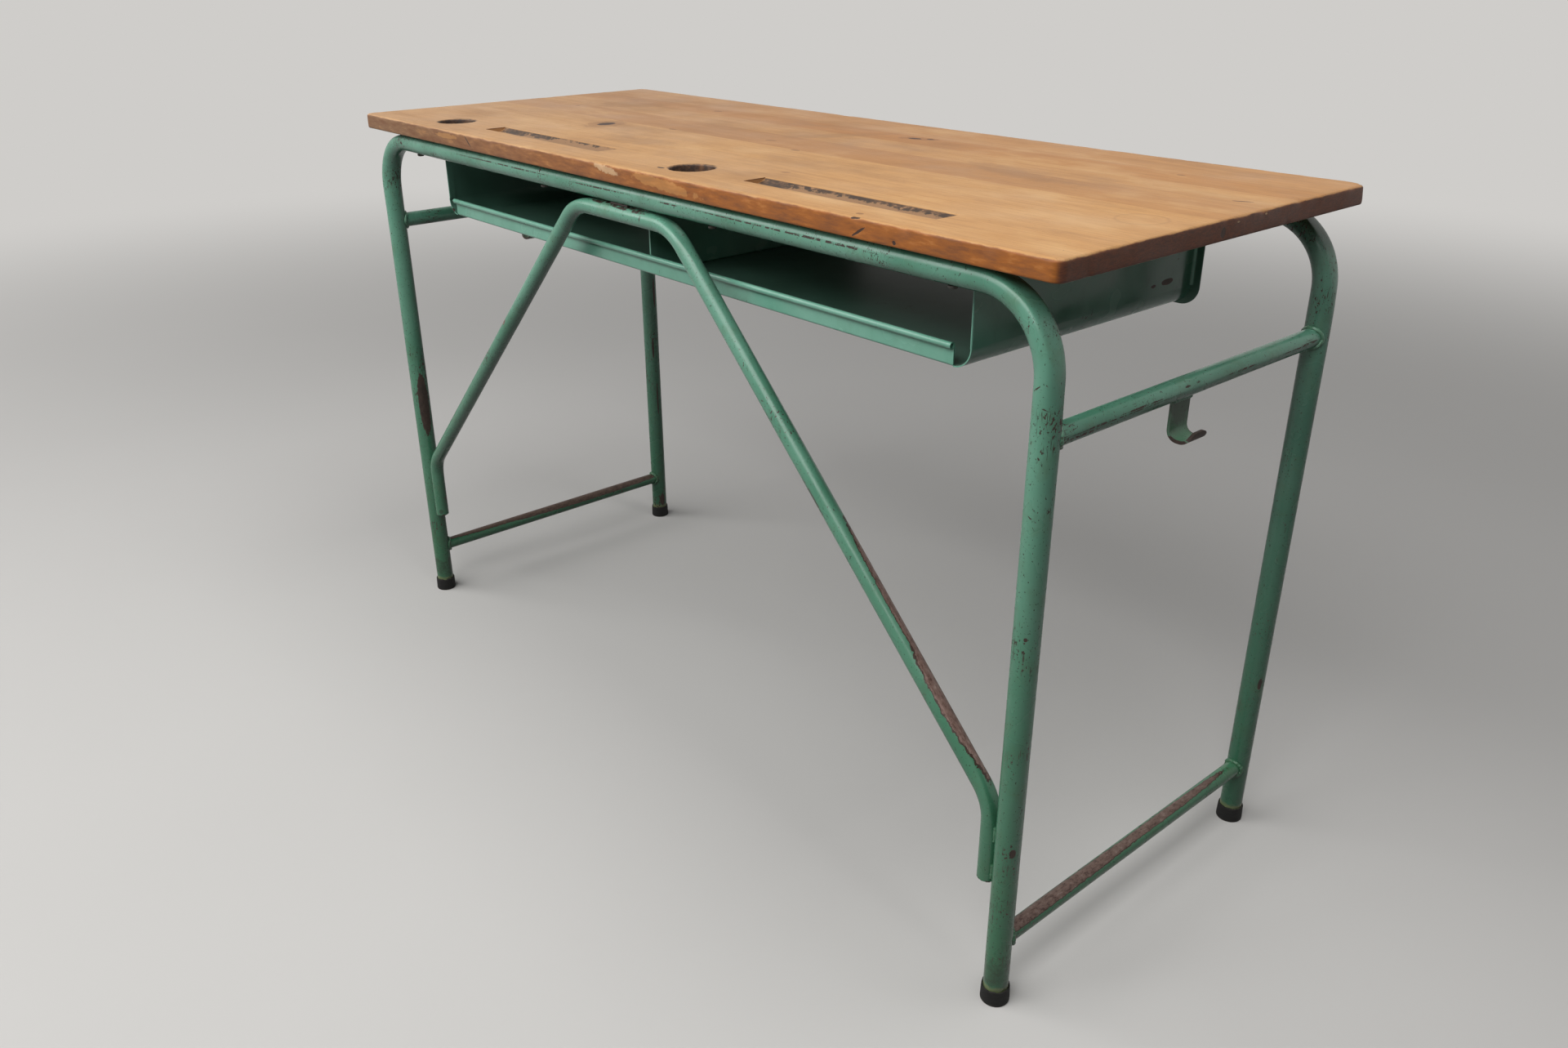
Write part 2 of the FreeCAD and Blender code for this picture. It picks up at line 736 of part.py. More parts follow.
def make_book_tray():
    """One folded sheet: floor, sides, lip, hemmed front edges, back rim and top flanges."""
    body = new_body("book_tray")
    half_sheet = S.sheet / 2
    side, floor, top = tray_side - half_sheet, tray_under + half_sheet, board_under - half_sheet
    flange = tray_side - S.tray_top_flange
    trough = new_sketch(body, "trough_sketch", "XZ_Plane", -tray_front)
    draw_strip(
        trough,
        [
            (-flange, top, None),
            (-side, top, S.tray_top_bend),
            (-side, floor, S.tray_corner - half_sheet),
            (side, floor, S.tray_corner - half_sheet),
            (side, top, S.tray_top_bend),
            (flange, top, None),
        ],
        S.sheet,
    )
    pad(body, trough, tray_depth, back=True)

    # The sheet is cut back behind the lip's fold and behind the hems, and both are added from there
    lip_end = tray_side - S.tray_corner
    fold_cut = new_sketch(body, "fold_cut_sketch", "XY_Plane", tray_under - S.overrun)
    draw_rectangle(
        fold_cut, -lip_end, lip_end, tray_front - S.overrun, tray_front + S.lip_foot / 2
    )
    pocket(body, fold_cut, S.overrun * 2, back=True)
    hem_cut = new_sketch(body, "hem_cut_sketch", "YZ_Plane")
    draw_rectangle(
        hem_cut,
        tray_front - S.overrun,
        tray_front + S.sheet,
        tray_under + S.tray_corner,
        board_under + S.overrun,
    )
    draw_rectangle(
        hem_cut,
        tray_back - S.tray_rim_bend - S.sheet * 2,
        tray_back + S.overrun,
        tray_under + S.tray_corner,
        board_under + S.overrun,
    )
    pocket(body, hem_cut, tray_side * 2 + S.overrun * 2, middle=True)

    lip = new_sketch(body, "lip_sketch", "YZ_Plane")
    lip_y = tray_front + half_sheet
    draw_strip(
        lip,
        [
            (tray_front + S.lip_foot, floor, None),
            (lip_y, floor, S.lip_fold),
            (lip_y, tray_under + S.lip_height, None),
        ],
        S.sheet,
    )
    pad(body, lip, lip_end * 2, middle=True)
    roll_r = S.lip_roll / 2
    roll = new_sketch(body, "roll_sketch", "YZ_Plane")
    roll_y = tray_front + S.sheet - roll_r
    draw_circle(roll, roll_y, tray_under + S.lip_height, roll_r)
    draw_circle(roll, roll_y, tray_under + S.lip_height, roll_r - S.sheet)
    pad(body, roll, lip_end * 2, middle=True)

    hems = new_sketch(body, "hem_sketch", "XY_Plane", tray_under + S.tray_corner)
    for end in (-1, 1):
        outer, inner = tray_side * end, (tray_side - S.sheet * 2) * end
        draw_line(
            hems,
            [
                (outer, tray_front, S.sheet * HEM_ROUND_SHARE),
                (inner, tray_front, S.sheet * HEM_ROUND_SHARE),
                (inner, tray_front + S.hem_width, None),
                (outer, tray_front + S.hem_width, None),
            ],
            closed=True,
        )
    pad(body, hems, S.tray_height - S.tray_corner - S.tray_top_bend)

    make_tray_rim(body)
    holes = new_sketch(body, "hole_sketch", "XY_Plane", board_under - S.overrun)
    for end in (-1, 1):
        for index in range(TRAY_SCREWS_ALONG):
            y = tray_screw_y + tray_screw_step * index
            draw_circle(holes, tray_screw_x * end, y, S.screw_shank / 2 + S.screw_play)
    pocket(body, holes, S.overrun * 2, back=True)
    return body


def make_tray_rim(body):
    """The back rim: each side is bent outwards, and below the bend a flat rim follows the round corner."""
    half_sheet = S.sheet / 2
    rim_x, rim_y = tray_side + S.tray_rim, tray_back - half_sheet
    bend_low = tray_under + S.tray_corner
    bends = new_sketch(body, "bend_sketch", "XY_Plane", bend_low)
    for end in (-1, 1):
        corners = [
            ((tray_side - half_sheet) * end, tray_back - S.tray_rim_bend - S.sheet * 2, None),
            ((tray_side - half_sheet) * end, rim_y, S.tray_rim_bend),
            (rim_x * end, rim_y, None),
        ]
        draw_strip(bends, corners[::end], S.sheet)
    pad(body, bends, board_under - bend_low)
    rim = new_sketch(body, "rim_sketch", "XZ_Plane", S.sheet - tray_back)
    corner = S.tray_corner
    inner_x, rim_top = tray_side - S.sheet, bend_low + S.sheet
    draw_line(
        rim,
        [
            (-rim_x, rim_top, None),
            (-rim_x, tray_under - S.tray_rim_under, corner),
            (rim_x, tray_under - S.tray_rim_under, corner),
            (rim_x, rim_top, None),
            (inner_x, rim_top, None),
            (inner_x, tray_floor, corner - S.sheet),
            (-inner_x, tray_floor, corner - S.sheet),
            (-inner_x, rim_top, None),
        ],
        closed=True,
    )
    pad(body, rim, S.sheet, back=True)


def make_tray_divider():
    """A sheet wall in the middle of the tray, with flanges on its left side and a hemmed front edge."""
    body = new_body("tray_divider")
    half_sheet = S.sheet / 2
    floor, top = tray_floor + half_sheet, board_under - half_sheet
    length = tray_back - S.sheet - divider_front
    wall = new_sketch(body, "wall_sketch", "XZ_Plane", -divider_front)
    draw_strip(
        wall,
        [
            (-S.divider_flange, floor, None),
            (ZERO, floor, S.divider_bend),
            (ZERO, top, S.divider_bend),
            (-S.divider_flange, top, None),
        ],
        S.sheet,
    )
    pad(body, wall, length, back=True)
    hem = new_sketch(body, "hem_sketch", "XY_Plane", floor + S.divider_bend)
    draw_rectangle(
        hem, half_sheet, half_sheet + S.sheet, divider_front, divider_front + S.hem_width
    )
    pad(body, hem, top - floor - S.divider_bend * 2)
    holes = new_sketch(body, "hole_sketch", "XY_Plane", board_under - S.overrun)
    for y in (tray_screw_y, tray_screw_y + tray_screw_run):
        draw_circle(holes, divider_screw_x, y, S.screw_shank / 2 + S.screw_play)
    pocket(body, holes, S.overrun * 2, back=True)
    return body


def make_screws(label, x, y, under, rows):
    """Round-head wood screws driven upwards: one at x, y with its head against under, and its copies."""
    body = new_body(label)
    body.AllowCompound = True
    profile = new_sketch(body, "profile_sketch", "XZ_Plane")
    shank, head = S.screw_shank / 2, S.screw_head / 2
    tip = board_under + S.screw_bite
    draw_line(
        profile,
        [
            (ZERO, under - S.screw_head_height, None),
            (head, under - S.screw_head_height, S.screw_head_round),
            (head, under, None),
            (shank, under, None),
            (shank, tip - S.screw_shank, None),
            (ZERO, tip, None),
        ],
        closed=True,
    )
    turned = body.newObject("PartDesign::Revolution", f"{label}_turned")
    turned.Profile = profile
    turned.ReferenceAxis = (profile, ["V_Axis"])
    turned.Angle = 360
    doc.recompute()
    slot = new_sketch(body, "slot_sketch", "XY_Plane", under - S.screw_head_height)
    wide, long = S.screw_slot_width / 2, S.screw_head
    draw_rectangle(slot, -long, long, -wide, wide)
    slot_cut = pocket(body, slot, S.screw_slot_depth, back=True)
    features = [turned, slot_cut]
    bind(body, Placement__Base__x=x, Placement__Base__y=y)
    transform = body.newObject("PartDesign::MultiTransform", f"{label}_copies")
    transform.Originals = features
    steps = []
    for role, length, count in rows:
        step = doc.addObject("PartDesign::LinearPattern", f"{label}_{role}")
        body.addObject(step)
        step.Direction = (origin_feature(body, role), [""])
        bind(step, Length=length)
        step.Occurrences = count
        steps.append(step)
    transform.Transformations = steps
    body.Tip = transform
    doc.recompute()
    return body


def make_all_screws():
    frame_rows = (("X_Axis", frame_screw_x * -2, FRAME_SCREWS_ALONG), ("Y_Axis", frame_y * 2, 2))
    tray_rows = (("X_Axis", tray_screw_x * 2, 2), ("Y_Axis", tray_screw_run, TRAY_SCREWS_ALONG))
    divider_rows = (("Y_Axis", tray_screw_run, 2),)
    frame_under = frame_rail_z - frame_r
    flange_under = board_under - S.sheet
    return [
        make_screws("frame_screws", frame_screw_x, -frame_y, frame_under, frame_rows),
        make_screws("tray_screws", -tray_screw_x, tray_screw_y, flange_under, tray_rows),
        make_screws("divider_screws", divider_screw_x, tray_screw_y, flange_under, divider_rows),
    ]


def make_desk():
    pieces = [make_top_board(), make_frame("front_frame", -1), make_frame("back_frame", 1)]
    pieces.append(make_brace())
    for name, side in (("left", -1), ("right", 1)):
        pieces.append(
            make_side_rail(f"upper_rail_{name}", side, S.upper_rail_tube, upper_rail_z)
        )
        pieces.append(
            make_side_rail(f"lower_rail_{name}", side, S.lower_rail_tube, S.lower_rail_height)
        )
        pieces.append(make_bag_hook(f"bag_hook_{name}", side))
        for end_name, end in (("front", -1), ("back", 1)):
            label = f"ferrule_{end_name}_{name}"
            pieces.append(make_ferrule(label, leg_x * side, frame_y * end))
    pieces.append(make_rail_welds("upper_rail_welds", S.upper_rail_tube, upper_rail_z))
    pieces.append(make_rail_welds("lower_rail_welds", S.lower_rail_tube, S.lower_rail_height))
    pieces.append(make_brace_welds())
    pieces.append(make_hook_welds())
    pieces.append(make_book_tray())
    pieces.append(make_tray_divider())
    return pieces + make_all_screws()


def check(pieces):
    """Stops if anything in the document has failed, or a piece isn't a sound solid."""
    for thing in doc.Objects:
        if {"Invalid", "Error"} & set(thing.State):
            raise ValueError(f"{thing.Label} failed: {thing.State}")
    for piece in pieces:
        shape = piece.Shape
        if shape.isNull() or not shape.isValid() or not shape.Solids:
            raise ValueError(f"{piece.Label} has no sound shape")


def write(pieces):
    os.makedirs("parts", exist_ok=True)
    for piece in pieces:
        piece.Shape.exportStep(f"parts/{piece.Label}.step")
        box = piece.Shape.BoundBox
        sizes = " x ".join(f"{length:.1f}" for length in (box.XLength, box.YLength, box.ZLength))
        print(f"{piece.Label}: {len(piece.Shape.Solids)} solid(s), {sizes} mm")


make_sheet()
desk = make_desk()
doc.recompute()
check(desk)
write(desk)
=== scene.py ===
# %% [markdown]
# # A two-seat school desk
# The desk has a wooden top on two bent steel tubes, a brace between the front legs, a folded steel tray
# and two bag hooks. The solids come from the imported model, in metres, and stay where they are. Blender
# adds what a drawing leaves out: bends that flattened in the bending machine, lumpy weld beads, a board
# with worn edges, and the finish of each surface.

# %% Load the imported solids
import math

import bmesh
import bpy
from mathutils import Euler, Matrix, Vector, noise


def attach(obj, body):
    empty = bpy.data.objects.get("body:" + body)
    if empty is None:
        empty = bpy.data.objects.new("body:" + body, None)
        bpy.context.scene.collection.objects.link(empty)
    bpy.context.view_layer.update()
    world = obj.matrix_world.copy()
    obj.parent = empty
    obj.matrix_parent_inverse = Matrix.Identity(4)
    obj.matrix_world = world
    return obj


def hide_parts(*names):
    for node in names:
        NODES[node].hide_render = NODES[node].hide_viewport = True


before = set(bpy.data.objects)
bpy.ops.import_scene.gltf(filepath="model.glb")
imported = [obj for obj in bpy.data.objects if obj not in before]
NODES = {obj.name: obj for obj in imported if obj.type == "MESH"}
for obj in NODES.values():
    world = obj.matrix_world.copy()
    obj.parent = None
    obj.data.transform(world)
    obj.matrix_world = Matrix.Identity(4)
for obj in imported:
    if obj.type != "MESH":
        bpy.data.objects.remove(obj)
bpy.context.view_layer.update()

print("solids loaded:", len(NODES))

# %% [markdown]
# Three small tools serve every cell below. Lengths are written in millimetres and turned to metres.
# Colours are written as the hex values a painter would read off a screen, and turned to the linear
# values that Blender mixes light in. One function adds a node and fills its inputs: a hex value becomes
# a colour, a node or a socket becomes a link, and anything else is a plain value.

# %% Lengths, colours and nodes
MM = 0.001


def metres(*lengths):
    return Vector([length * MM for length in lengths])


def linear(hex_colour):
    """An sRGB hex colour as linear red, green, blue and alpha."""
    channels = [int(hex_colour[i : i + 2], 16) / 255 for i in (1, 3, 5)]
    curved = [c / 12.92 if c <= 0.04045 else ((c + 0.055) / 1.055) ** 2.4 for c in channels]
    return (*curved, 1.0)


def add(tree, kind, inputs=None, out=None, **settings):
    """Adds a node, sets its properties and fills its inputs. Gives the node, or the output asked for."""
    node = tree.nodes.new(kind)
    for name, value in settings.items():
        setattr(node, name, value)
    for key, value in (inputs or {}).items():
        if isinstance(value, bpy.types.Node):
            value = value.outputs[0]
        if isinstance(value, bpy.types.NodeSocket):
            tree.links.new(value, node.inputs[key])
        elif isinstance(value, str) and value.startswith("#"):
            node.inputs[key].default_value = linear(value)
        else:
            node.inputs[key].default_value = value
    return node if out is None else node.outputs[out]


print("mint enamel in linear light:", [round(c, 3) for c in linear("#6ba28b")])

# %% [markdown]
# ## The camera
# The camera stands to the right of the desk's front at standing height and looks down on it. Its place,
# its turn and its lens were worked out from the lines of the desk in the photograph.

# %% Camera
CAMERA_AT = (1145.9, -976.6, 954.5)
CAMERA_TURN = (64.942, 0.274, 49.026)
LENS = 28.394
FILM_WIDTH = 36.0

camera_data = bpy.data.cameras.new("camera")
camera_data.sensor_width = FILM_WIDTH
camera_data.lens = LENS
camera_data.clip_start = 0.01
camera_data.clip_end = 200.0
camera = bpy.data.objects.new("camera", camera_data)
camera.location = metres(*CAMERA_AT)
camera.rotation_euler = Euler([math.radians(angle) for angle in CAMERA_TURN])
bpy.context.scene.collection.objects.link(camera)
bpy.context.scene.camera = camera
print("camera at", [round(v, 3) for v in camera.location], "with a lens of", LENS, "mm")

# %% [markdown]
# ## The studio
# A pale floor catches the desk's shadow. Further out it fades to an even pale tone for the camera and
# for reflections, so no horizon shows. To the light that bounces it is a darker floor, so the shaded
# sides of the tubes stay dark. One large soft lamp stands to the left of the front. Another hangs high
# before the middle, puts the pale sheen on the right slope of the brace and leaves the back legs in the
# shadow of the board. A small one hangs above the right end, a faint one stands far to the right, and
# the world lights the shadows.

# %% What shows the background
def background_rays(tree):
    """1 for rays from the camera and for mirrored and refracted ones, 0 for the light that bounces."""
    rays = add(tree, "ShaderNodeLightPath").outputs
    direct = {0: rays["Is Camera Ray"], 1: rays["Is Glossy Ray"]}
    direct = add(tree, "ShaderNodeMath", direct, operation="MAXIMUM")
    return add(tree, "ShaderNodeMath", {0: direct, 1: rays["Is Transmission Ray"]}, operation="MAXIMUM")


print("the background shows to the camera, in reflections and through glass")

# %% Floor
FLOOR_TONE = "#cfcdca"
MOTTLED_TONE = "#cac8c5"
BOUNCE_TONE = "#3a3938"
FLOOR_HALF = 60.0
FADE_FROM, FADE_TO = 1.4, 4.5

corners = [(x * FLOOR_HALF, y * FLOOR_HALF, 0) for x, y in ((-1, -1), (1, -1), (1, 1), (-1, 1))]
floor_mesh = bpy.data.meshes.new("studio_floor")
floor_mesh.from_pydata(corners, [], [(0, 1, 2, 3)])
floor = bpy.data.objects.new("studio_floor", floor_mesh)
bpy.context.scene.collection.objects.link(floor)

floor_paint = bpy.data.materials.new("pale_studio_floor")
floor_paint.use_nodes = True
tree = floor_paint.node_tree
tree.nodes.clear()
coords = add(tree, "ShaderNodeTexCoord", out="Object")
bounced = add(tree, "ShaderNodeLightPath", out="Is Diffuse Ray")
mottle = add(tree, "ShaderNodeTexNoise", {"Vector": coords, "Scale": 1.5, "Detail": 4.0})
tone = add(tree, "ShaderNodeMix", {0: mottle, 6: MOTTLED_TONE, 7: FLOOR_TONE}, out=2, data_type="RGBA")
tone = add(tree, "ShaderNodeMix", {0: bounced, 6: tone, 7: BOUNCE_TONE}, out=2, data_type="RGBA")
paint = add(tree, "ShaderNodeBsdfDiffuse", {"Color": tone})
plain = add(tree, "ShaderNodeEmission", {"Color": FLOOR_TONE, "Strength": 1.0})
away = add(tree, "ShaderNodeVectorMath", {0: coords}, out="Value", operation="LENGTH")
fade = add(tree, "ShaderNodeMapRange", {0: away, 1: FADE_FROM, 2: FADE_TO}, interpolation_type="SMOOTHSTEP")
share = add(tree, "ShaderNodeMath", {0: fade, 1: background_rays(tree)}, operation="MULTIPLY")
surface = add(tree, "ShaderNodeMixShader", {0: share, 1: paint, 2: plain})
add(tree, "ShaderNodeOutputMaterial", {"Surface": surface})
floor_mesh.materials.append(floor_paint)
print("floor is", 2 * FLOOR_HALF, "m across")

# %% Lamps and world
LAMPS = {
    "left_softbox": {"at": (-1.9, -2.6, 2.5), "size": (3.0, 2.4), "watts": 80.0},
    "high_softbox": {"at": (0.65, -2.25, 2.95), "size": (2.8, 2.2), "watts": 76.0},
    "fill_softbox": {"at": (3.1, -1.0, 1.9), "size": (2.0, 2.0), "watts": 0.6},
    "top_softbox": {"at": (0.9, 0.1, 2.9), "size": (1.2, 1.2), "watts": 23.0},
}
AIM = Vector((0.0, 0.0, 0.45))
WORLD_TONE = "#dfe1e4"
WORLD_STRENGTH = 0.055
for name, lamp in LAMPS.items():
    data = bpy.data.lights.new(name, "AREA")
    data.shape = "RECTANGLE"
    data.size, data.size_y = lamp["size"]
    data.energy = lamp["watts"]
    light = bpy.data.objects.new(name, data)
    light.location = lamp["at"]
    light.rotation_euler = (AIM - light.location).to_track_quat("-Z", "Y").to_euler()
    bpy.context.scene.collection.objects.link(light)

world = bpy.data.worlds.new("studio_world")
world.use_nodes = True
tree = world.node_tree
tree.nodes.clear()
backdrop = add(tree, "ShaderNodeBackground", {"Color": FLOOR_TONE, "Strength": 1.0})
shadow_light = add(tree, "ShaderNodeBackground", {"Color": WORLD_TONE, "Strength": WORLD_STRENGTH})
surface = add(tree, "ShaderNodeMixShader", {0: background_rays(tree), 1: shadow_light, 2: backdrop})
add(tree, "ShaderNodeOutputWorld", {"Surface": surface})
bpy.context.scene.world = world
bpy.context.scene.view_settings.view_transform = "Standard"
print("lamps:", ", ".join(f"{name} {lamp['watts']:.0f} W" for name, lamp in LAMPS.items()))

# %% [markdown]
# ## Marks of wear
# Most of what makes this desk itself is wear that sits in one place: a scratch along the front rail, a
# rusty patch on a leg, a knot in the board. Each is an ellipsoid with a ragged edge, placed, turned and
# sized in the desk's own coordinates, so that it stays on the surface from every side. Where it cuts
# the surface the mark shows. A list of such marks becomes one mask.

# %% Masks from placed marks
def mark_mask(tree, coords, marks, ragged=0.35, grit=4.0, soft=0.06):
    """The largest of several ragged ellipsoids: 1 inside, 0 outside. Marks are (place, turn, half sizes)."""
    noisy = {"Vector": coords, "Scale": 1 / (grit * MM), "Detail": 5.0, "Roughness": 0.65}
    edge = add(tree, "ShaderNodeTexNoise", noisy)
    edge = add(tree, "ShaderNodeMapRange", {0: edge, 3: -1.25 * ragged, 4: 1.25 * ragged}, clamp=False)
    whole = None
    for place, turn, half in marks:
        turned = [math.radians(angle) for angle in turn]
        seat = {"Vector": coords, "Location": metres(*place), "Rotation": turned, "Scale": metres(*half)}
        local = add(tree, "ShaderNodeMapping", seat, vector_type="TEXTURE")
        reach = add(tree, "ShaderNodeVectorMath", {0: local}, out="Value", operation="LENGTH")
        reach = add(tree, "ShaderNodeMath", {0: reach, 1: edge}, operation="ADD")
        mask = add(tree, "ShaderNodeMapRange", {0: reach, 1: 1.0 + soft, 2: 1.0 - soft})
        if whole is None:
            whole = mask
        else:
            whole = add(tree, "ShaderNodeMath", {0: whole, 1: mask}, operation="MAXIMUM")
    return whole


print("marks become masks")

# %% [markdown]
# Scattered wear comes from noise. Its grains get a real size along each axis, so a stain can be long
# along a tube and narrow across it. A stain is then one colour laid over another wherever such a noise,
# or one of the masks above, rises from a low to a high value.

# %% Grains of a real size, and stains
def grains(tree, coords, spacing, turn=(0, 0, 0), **look):
    """Noise whose grains measure so many millimetres along each axis, turned by so many degrees."""
    turned = [math.radians(angle) for angle in turn]
    seat = {"Vector": coords, "Scale": metres(*spacing), "Rotation": turned}
    local = add(tree, "ShaderNodeMapping", seat, vector_type="TEXTURE")
    return add(tree, "ShaderNodeTexNoise", {"Vector": local, "Scale": 1.0, "Detail": 3.0, **look})


def stain(tree, under, over, mask, low=0.0, high=1.0, share=1.0):
    """One colour over another where a mask rises from low to high, by the given share at most."""
    cover = add(tree, "ShaderNodeMapRange", {0: mask, 1: low, 2: high, 4: share})
    return add(tree, "ShaderNodeMix", {0: cover, 6: under, 7: over}, out=2, data_type="RGBA")


print("grains of 90 mm along a tube are", [round(v, 3) for v in metres(90, 90, 120)], "m for Blender")

# %% A new material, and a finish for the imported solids
def new_material(name):
    material = bpy.data.materials.new(name)
    material.use_nodes = True
    tree = material.node_tree
    tree.nodes.clear()
    return material, tree, add(tree, "ShaderNodeTexCoord", out="Object")


def finish_solids(material, *nodes):
    """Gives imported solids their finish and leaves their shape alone."""
    for node in nodes:
        NODES[node].data.materials.clear()
        NODES[node].data.materials.append(material)


print("materials start from an empty tree")

# %% [markdown]
# ## The board
# The top is 19 mm of solid beech, glued up from five boards, oiled and rubbed for decades. Its arrises
# were rounded by sleeves, not by a cutter, so the radius drifts along the edge and there are dents. One
# ring of points runs round the board at each height of its edge, all with the same number of points,
# and neighbouring rings are bridged with faces. The wear is part of the rings. The flat top and
# underside are filled between the last ring and the holes.
#
# A dent is a place, a radius and a depth in millimetres. It fades with the distance from its place.

# %% Board sizes and worn edge
BOARD = {"half_length": 600.0, "half_depth": 236.5, "top": 746.0, "under": 727.0, "corner": 10.0}
WALL_TOP, WALL_FOOT, WALL_RINGS = 740.0, 729.0, 4
RUBBED_FROM = 736.5
LOW_RADIUS = 1.8
ARRIS = {"middle": 3.0, "drift": 1.3, "least": 2.2, "most": 5.5}
FINE_WEAR = [(0.18, 0.11), (0.12, 0.4)]  # the depth in mm and the waves per mm
DENT_REACH, DENT_FALL = 1.6, 2.2
SAG = 0.6
DENTS = [
    ((-6, -236.5, 746), 9, 1.3), ((14, -236.5, 744), 7, 1.0), ((-22, -236.5, 741), 6, 0.7),
    ((-410, -236.5, 746), 8, 0.6), ((-250, -236.5, 746), 11, 0.8), ((118, -236.5, 746), 12, 0.8),
    ((233, -236.5, 746), 6, 0.9), ((384, -234.5, 746), 5, 1.3), ((441, -236.5, 746), 8, 0.9),
    ((531, -236.5, 746), 10, 1.0), ((384, -236.5, 732), 6, 0.9), ((429, -236.5, 730), 4, 0.8),
    ((600, -150, 746), 8, 0.7), ((600, -12, 746), 5, 1.0), ((600, 47, 744), 5, 0.9),
    ((600, 110, 746), 9, 0.6), ((600, 236.5, 746), 12, 2.4), ((600, -236.5, 746), 7, 1.0),
    ((-600, 60, 746), 9, 0.8), ((-600, -236.5, 746), 8, 1.2), ((300, 236.5, 746), 9, 0.9),
    ((-120, 236.5, 746), 12, 0.7), ((600, 90, 728), 6, 0.8), ((600, -200, 728), 7, 0.8),
]


def board_outline(step=3.0, corner_steps=8):
    """Points of the board's outline, with the direction outwards at each."""
    samples = []
    length, depth, corner = BOARD["half_length"], BOARD["half_depth"], BOARD["corner"]
    turns = [(1, -1, -90), (1, 1, 0), (-1, 1, 90), (-1, -1, 180)]
    for index, (sx, sy, start) in enumerate(turns):
        centre = Vector((sx * (length - corner), sy * (depth - corner)))
        for i in range(corner_steps + 1):
            angle = math.radians(start + 90 * i / corner_steps)
            outward = Vector((math.cos(angle), math.sin(angle)))
            samples.append((centre + outward * corner, outward))
        nx, ny, _ = turns[(index + 1) % 4]
        goal = Vector((nx * (length - corner), ny * (depth - corner))) + outward * corner
        here = samples[-1][0]
        count = round((goal - here).length / step)
        samples += [(here.lerp(goal, i / count), outward) for i in range(1, count)]
    return samples


def edge_profile(radius, steps=6):
    """Inset and height of each ring, from the flat of the top round the edge to the underside."""
    top, under = BOARD["top"], BOARD["under"]
    rings = [(8.0, top), (6.4, top)]
    for i in range(steps + 1):
        angle = math.radians(90 * i / steps)
        rings.append((radius * (1 - math.sin(angle)), top - radius * (1 - math.cos(angle))))
    step = (WALL_TOP - WALL_FOOT) / WALL_RINGS
    rings += [(0.0, WALL_TOP - (i + 0.5) * step) for i in range(WALL_RINGS)]
    for i in range(4):
        angle = math.radians(90 * i / 3)
        rings.append((LOW_RADIUS * (1 - math.cos(angle)), under + LOW_RADIUS * (1 - math.sin(angle))))
    return rings + [(5.0, under), (8.0, under)]


def worn_point(at, outward, inset, height, flat):
    """A point of the edge, pushed in and down by dents and a fine roughness. Flat rings stay flat."""
    point = Vector((at.x - outward.x * inset, at.y - outward.y * inset, height))
    if flat:
        return point
    push = sum(depth * (noise.noise(point * waves) + 1) for depth, waves in FINE_WEAR)
    for place, radius, depth in DENTS:
        reach = (point - Vector(place)).length / radius
        if reach < DENT_REACH:
            push += depth * math.exp(-DENT_FALL * reach * reach)
    down = max(0.0, (height - RUBBED_FROM) / (BOARD["top"] - RUBBED_FROM))
    return point - Vector((outward.x, outward.y, 0)) * push - Vector((0, 0, down * SAG * push))


OUTLINE = board_outline()
print("points round the board:", len(OUTLINE), "and dents:", len(DENTS))

# %% Rings of points
def new_ring(mesh, points):
    return [mesh.verts.new(metres(*point)) for point in points]


def bridge(mesh, first, second):
    for i in range(len(first)):
        j = (i + 1) % len(first)
        mesh.faces.new((first[i], first[j], second[j], second[i]))


def closed_edges(mesh, ring):
    return [mesh.edges.get((ring[i], ring[(i + 1) % len(ring)])) for i in range(len(ring))]


print("rings are bridged with four-sided faces")

# %% [markdown]
# Each seat has a round hole for an inkwell and a shallow groove for a pencil. The hole goes right
# through, with a rounded and slightly chipped rim, so rings of points run down its wall.

# %% Bores
BORES = [(-430.0, -183.0), (85.0, -183.0)]
BORE_RADIUS = 24.0
BORE_SIDES = 64
CHIP_DEPTH = 0.5


def cut_bore(mesh, x, y):
    """Rings from the top down through the bore; gives the first and the last for the flat fills."""
    top, under = BOARD["top"], BOARD["under"]
    profile = [(4.0, top), (2.2, top), (1.0, top - 0.35), (0.3, top - 0.9), (0.0, top - 2.0), (0.0, 736.0),
               (0.0, under + 1.6), (0.5, under + 0.4), (1.6, under), (4.0, under)]
    rings = []
    for level, (wider, z) in enumerate(profile):
        points = []
        for i in range(BORE_SIDES):
            angle = math.tau * i / BORE_SIDES
            rough = noise.noise(Vector((x + 9 * math.cos(angle), 9 * math.sin(angle), z * 0.3)))
            radius = BORE_RADIUS + wider + (CHIP_DEPTH * max(0.0, rough) if 1 < level < 7 else 0.0)
            points.append((x + radius * math.cos(angle), y + radius * math.sin(angle), z))
        rings.append(new_ring(mesh, points))
    for first, second in zip(rings, rings[1:]):
        bridge(mesh, first, second)
    return rings[0], rings[-1]


print("bores of", 2 * BORE_RADIUS, "mm at", BORES)

# %% [markdown]
# The groove is a segment of a circle, 29 mm wide and 5 mm deep, cut with square ends, so a grid of
# points follows its section and two end walls close it. A flat rim leads over to the top.

# %% Grooves
GROOVES = [(-333.0, -77.0), (182.0, 438.0)]
GROOVE_Y = -179.5
GROOVE_HALF = 14.5
GROOVE_DEPTH = 5.0
GROOVE_RIM = 2.0
GROOVE_RADIUS = (GROOVE_HALF**2 + GROOVE_DEPTH**2) / (2 * GROOVE_DEPTH)


def rim_step(offset, half):
    """How far the flat rim reaches out from a groove along one axis, nothing between its sides."""
    return math.copysign(GROOVE_RIM * MM, offset) if abs(offset) > half * MM - 1e-7 else 0.0


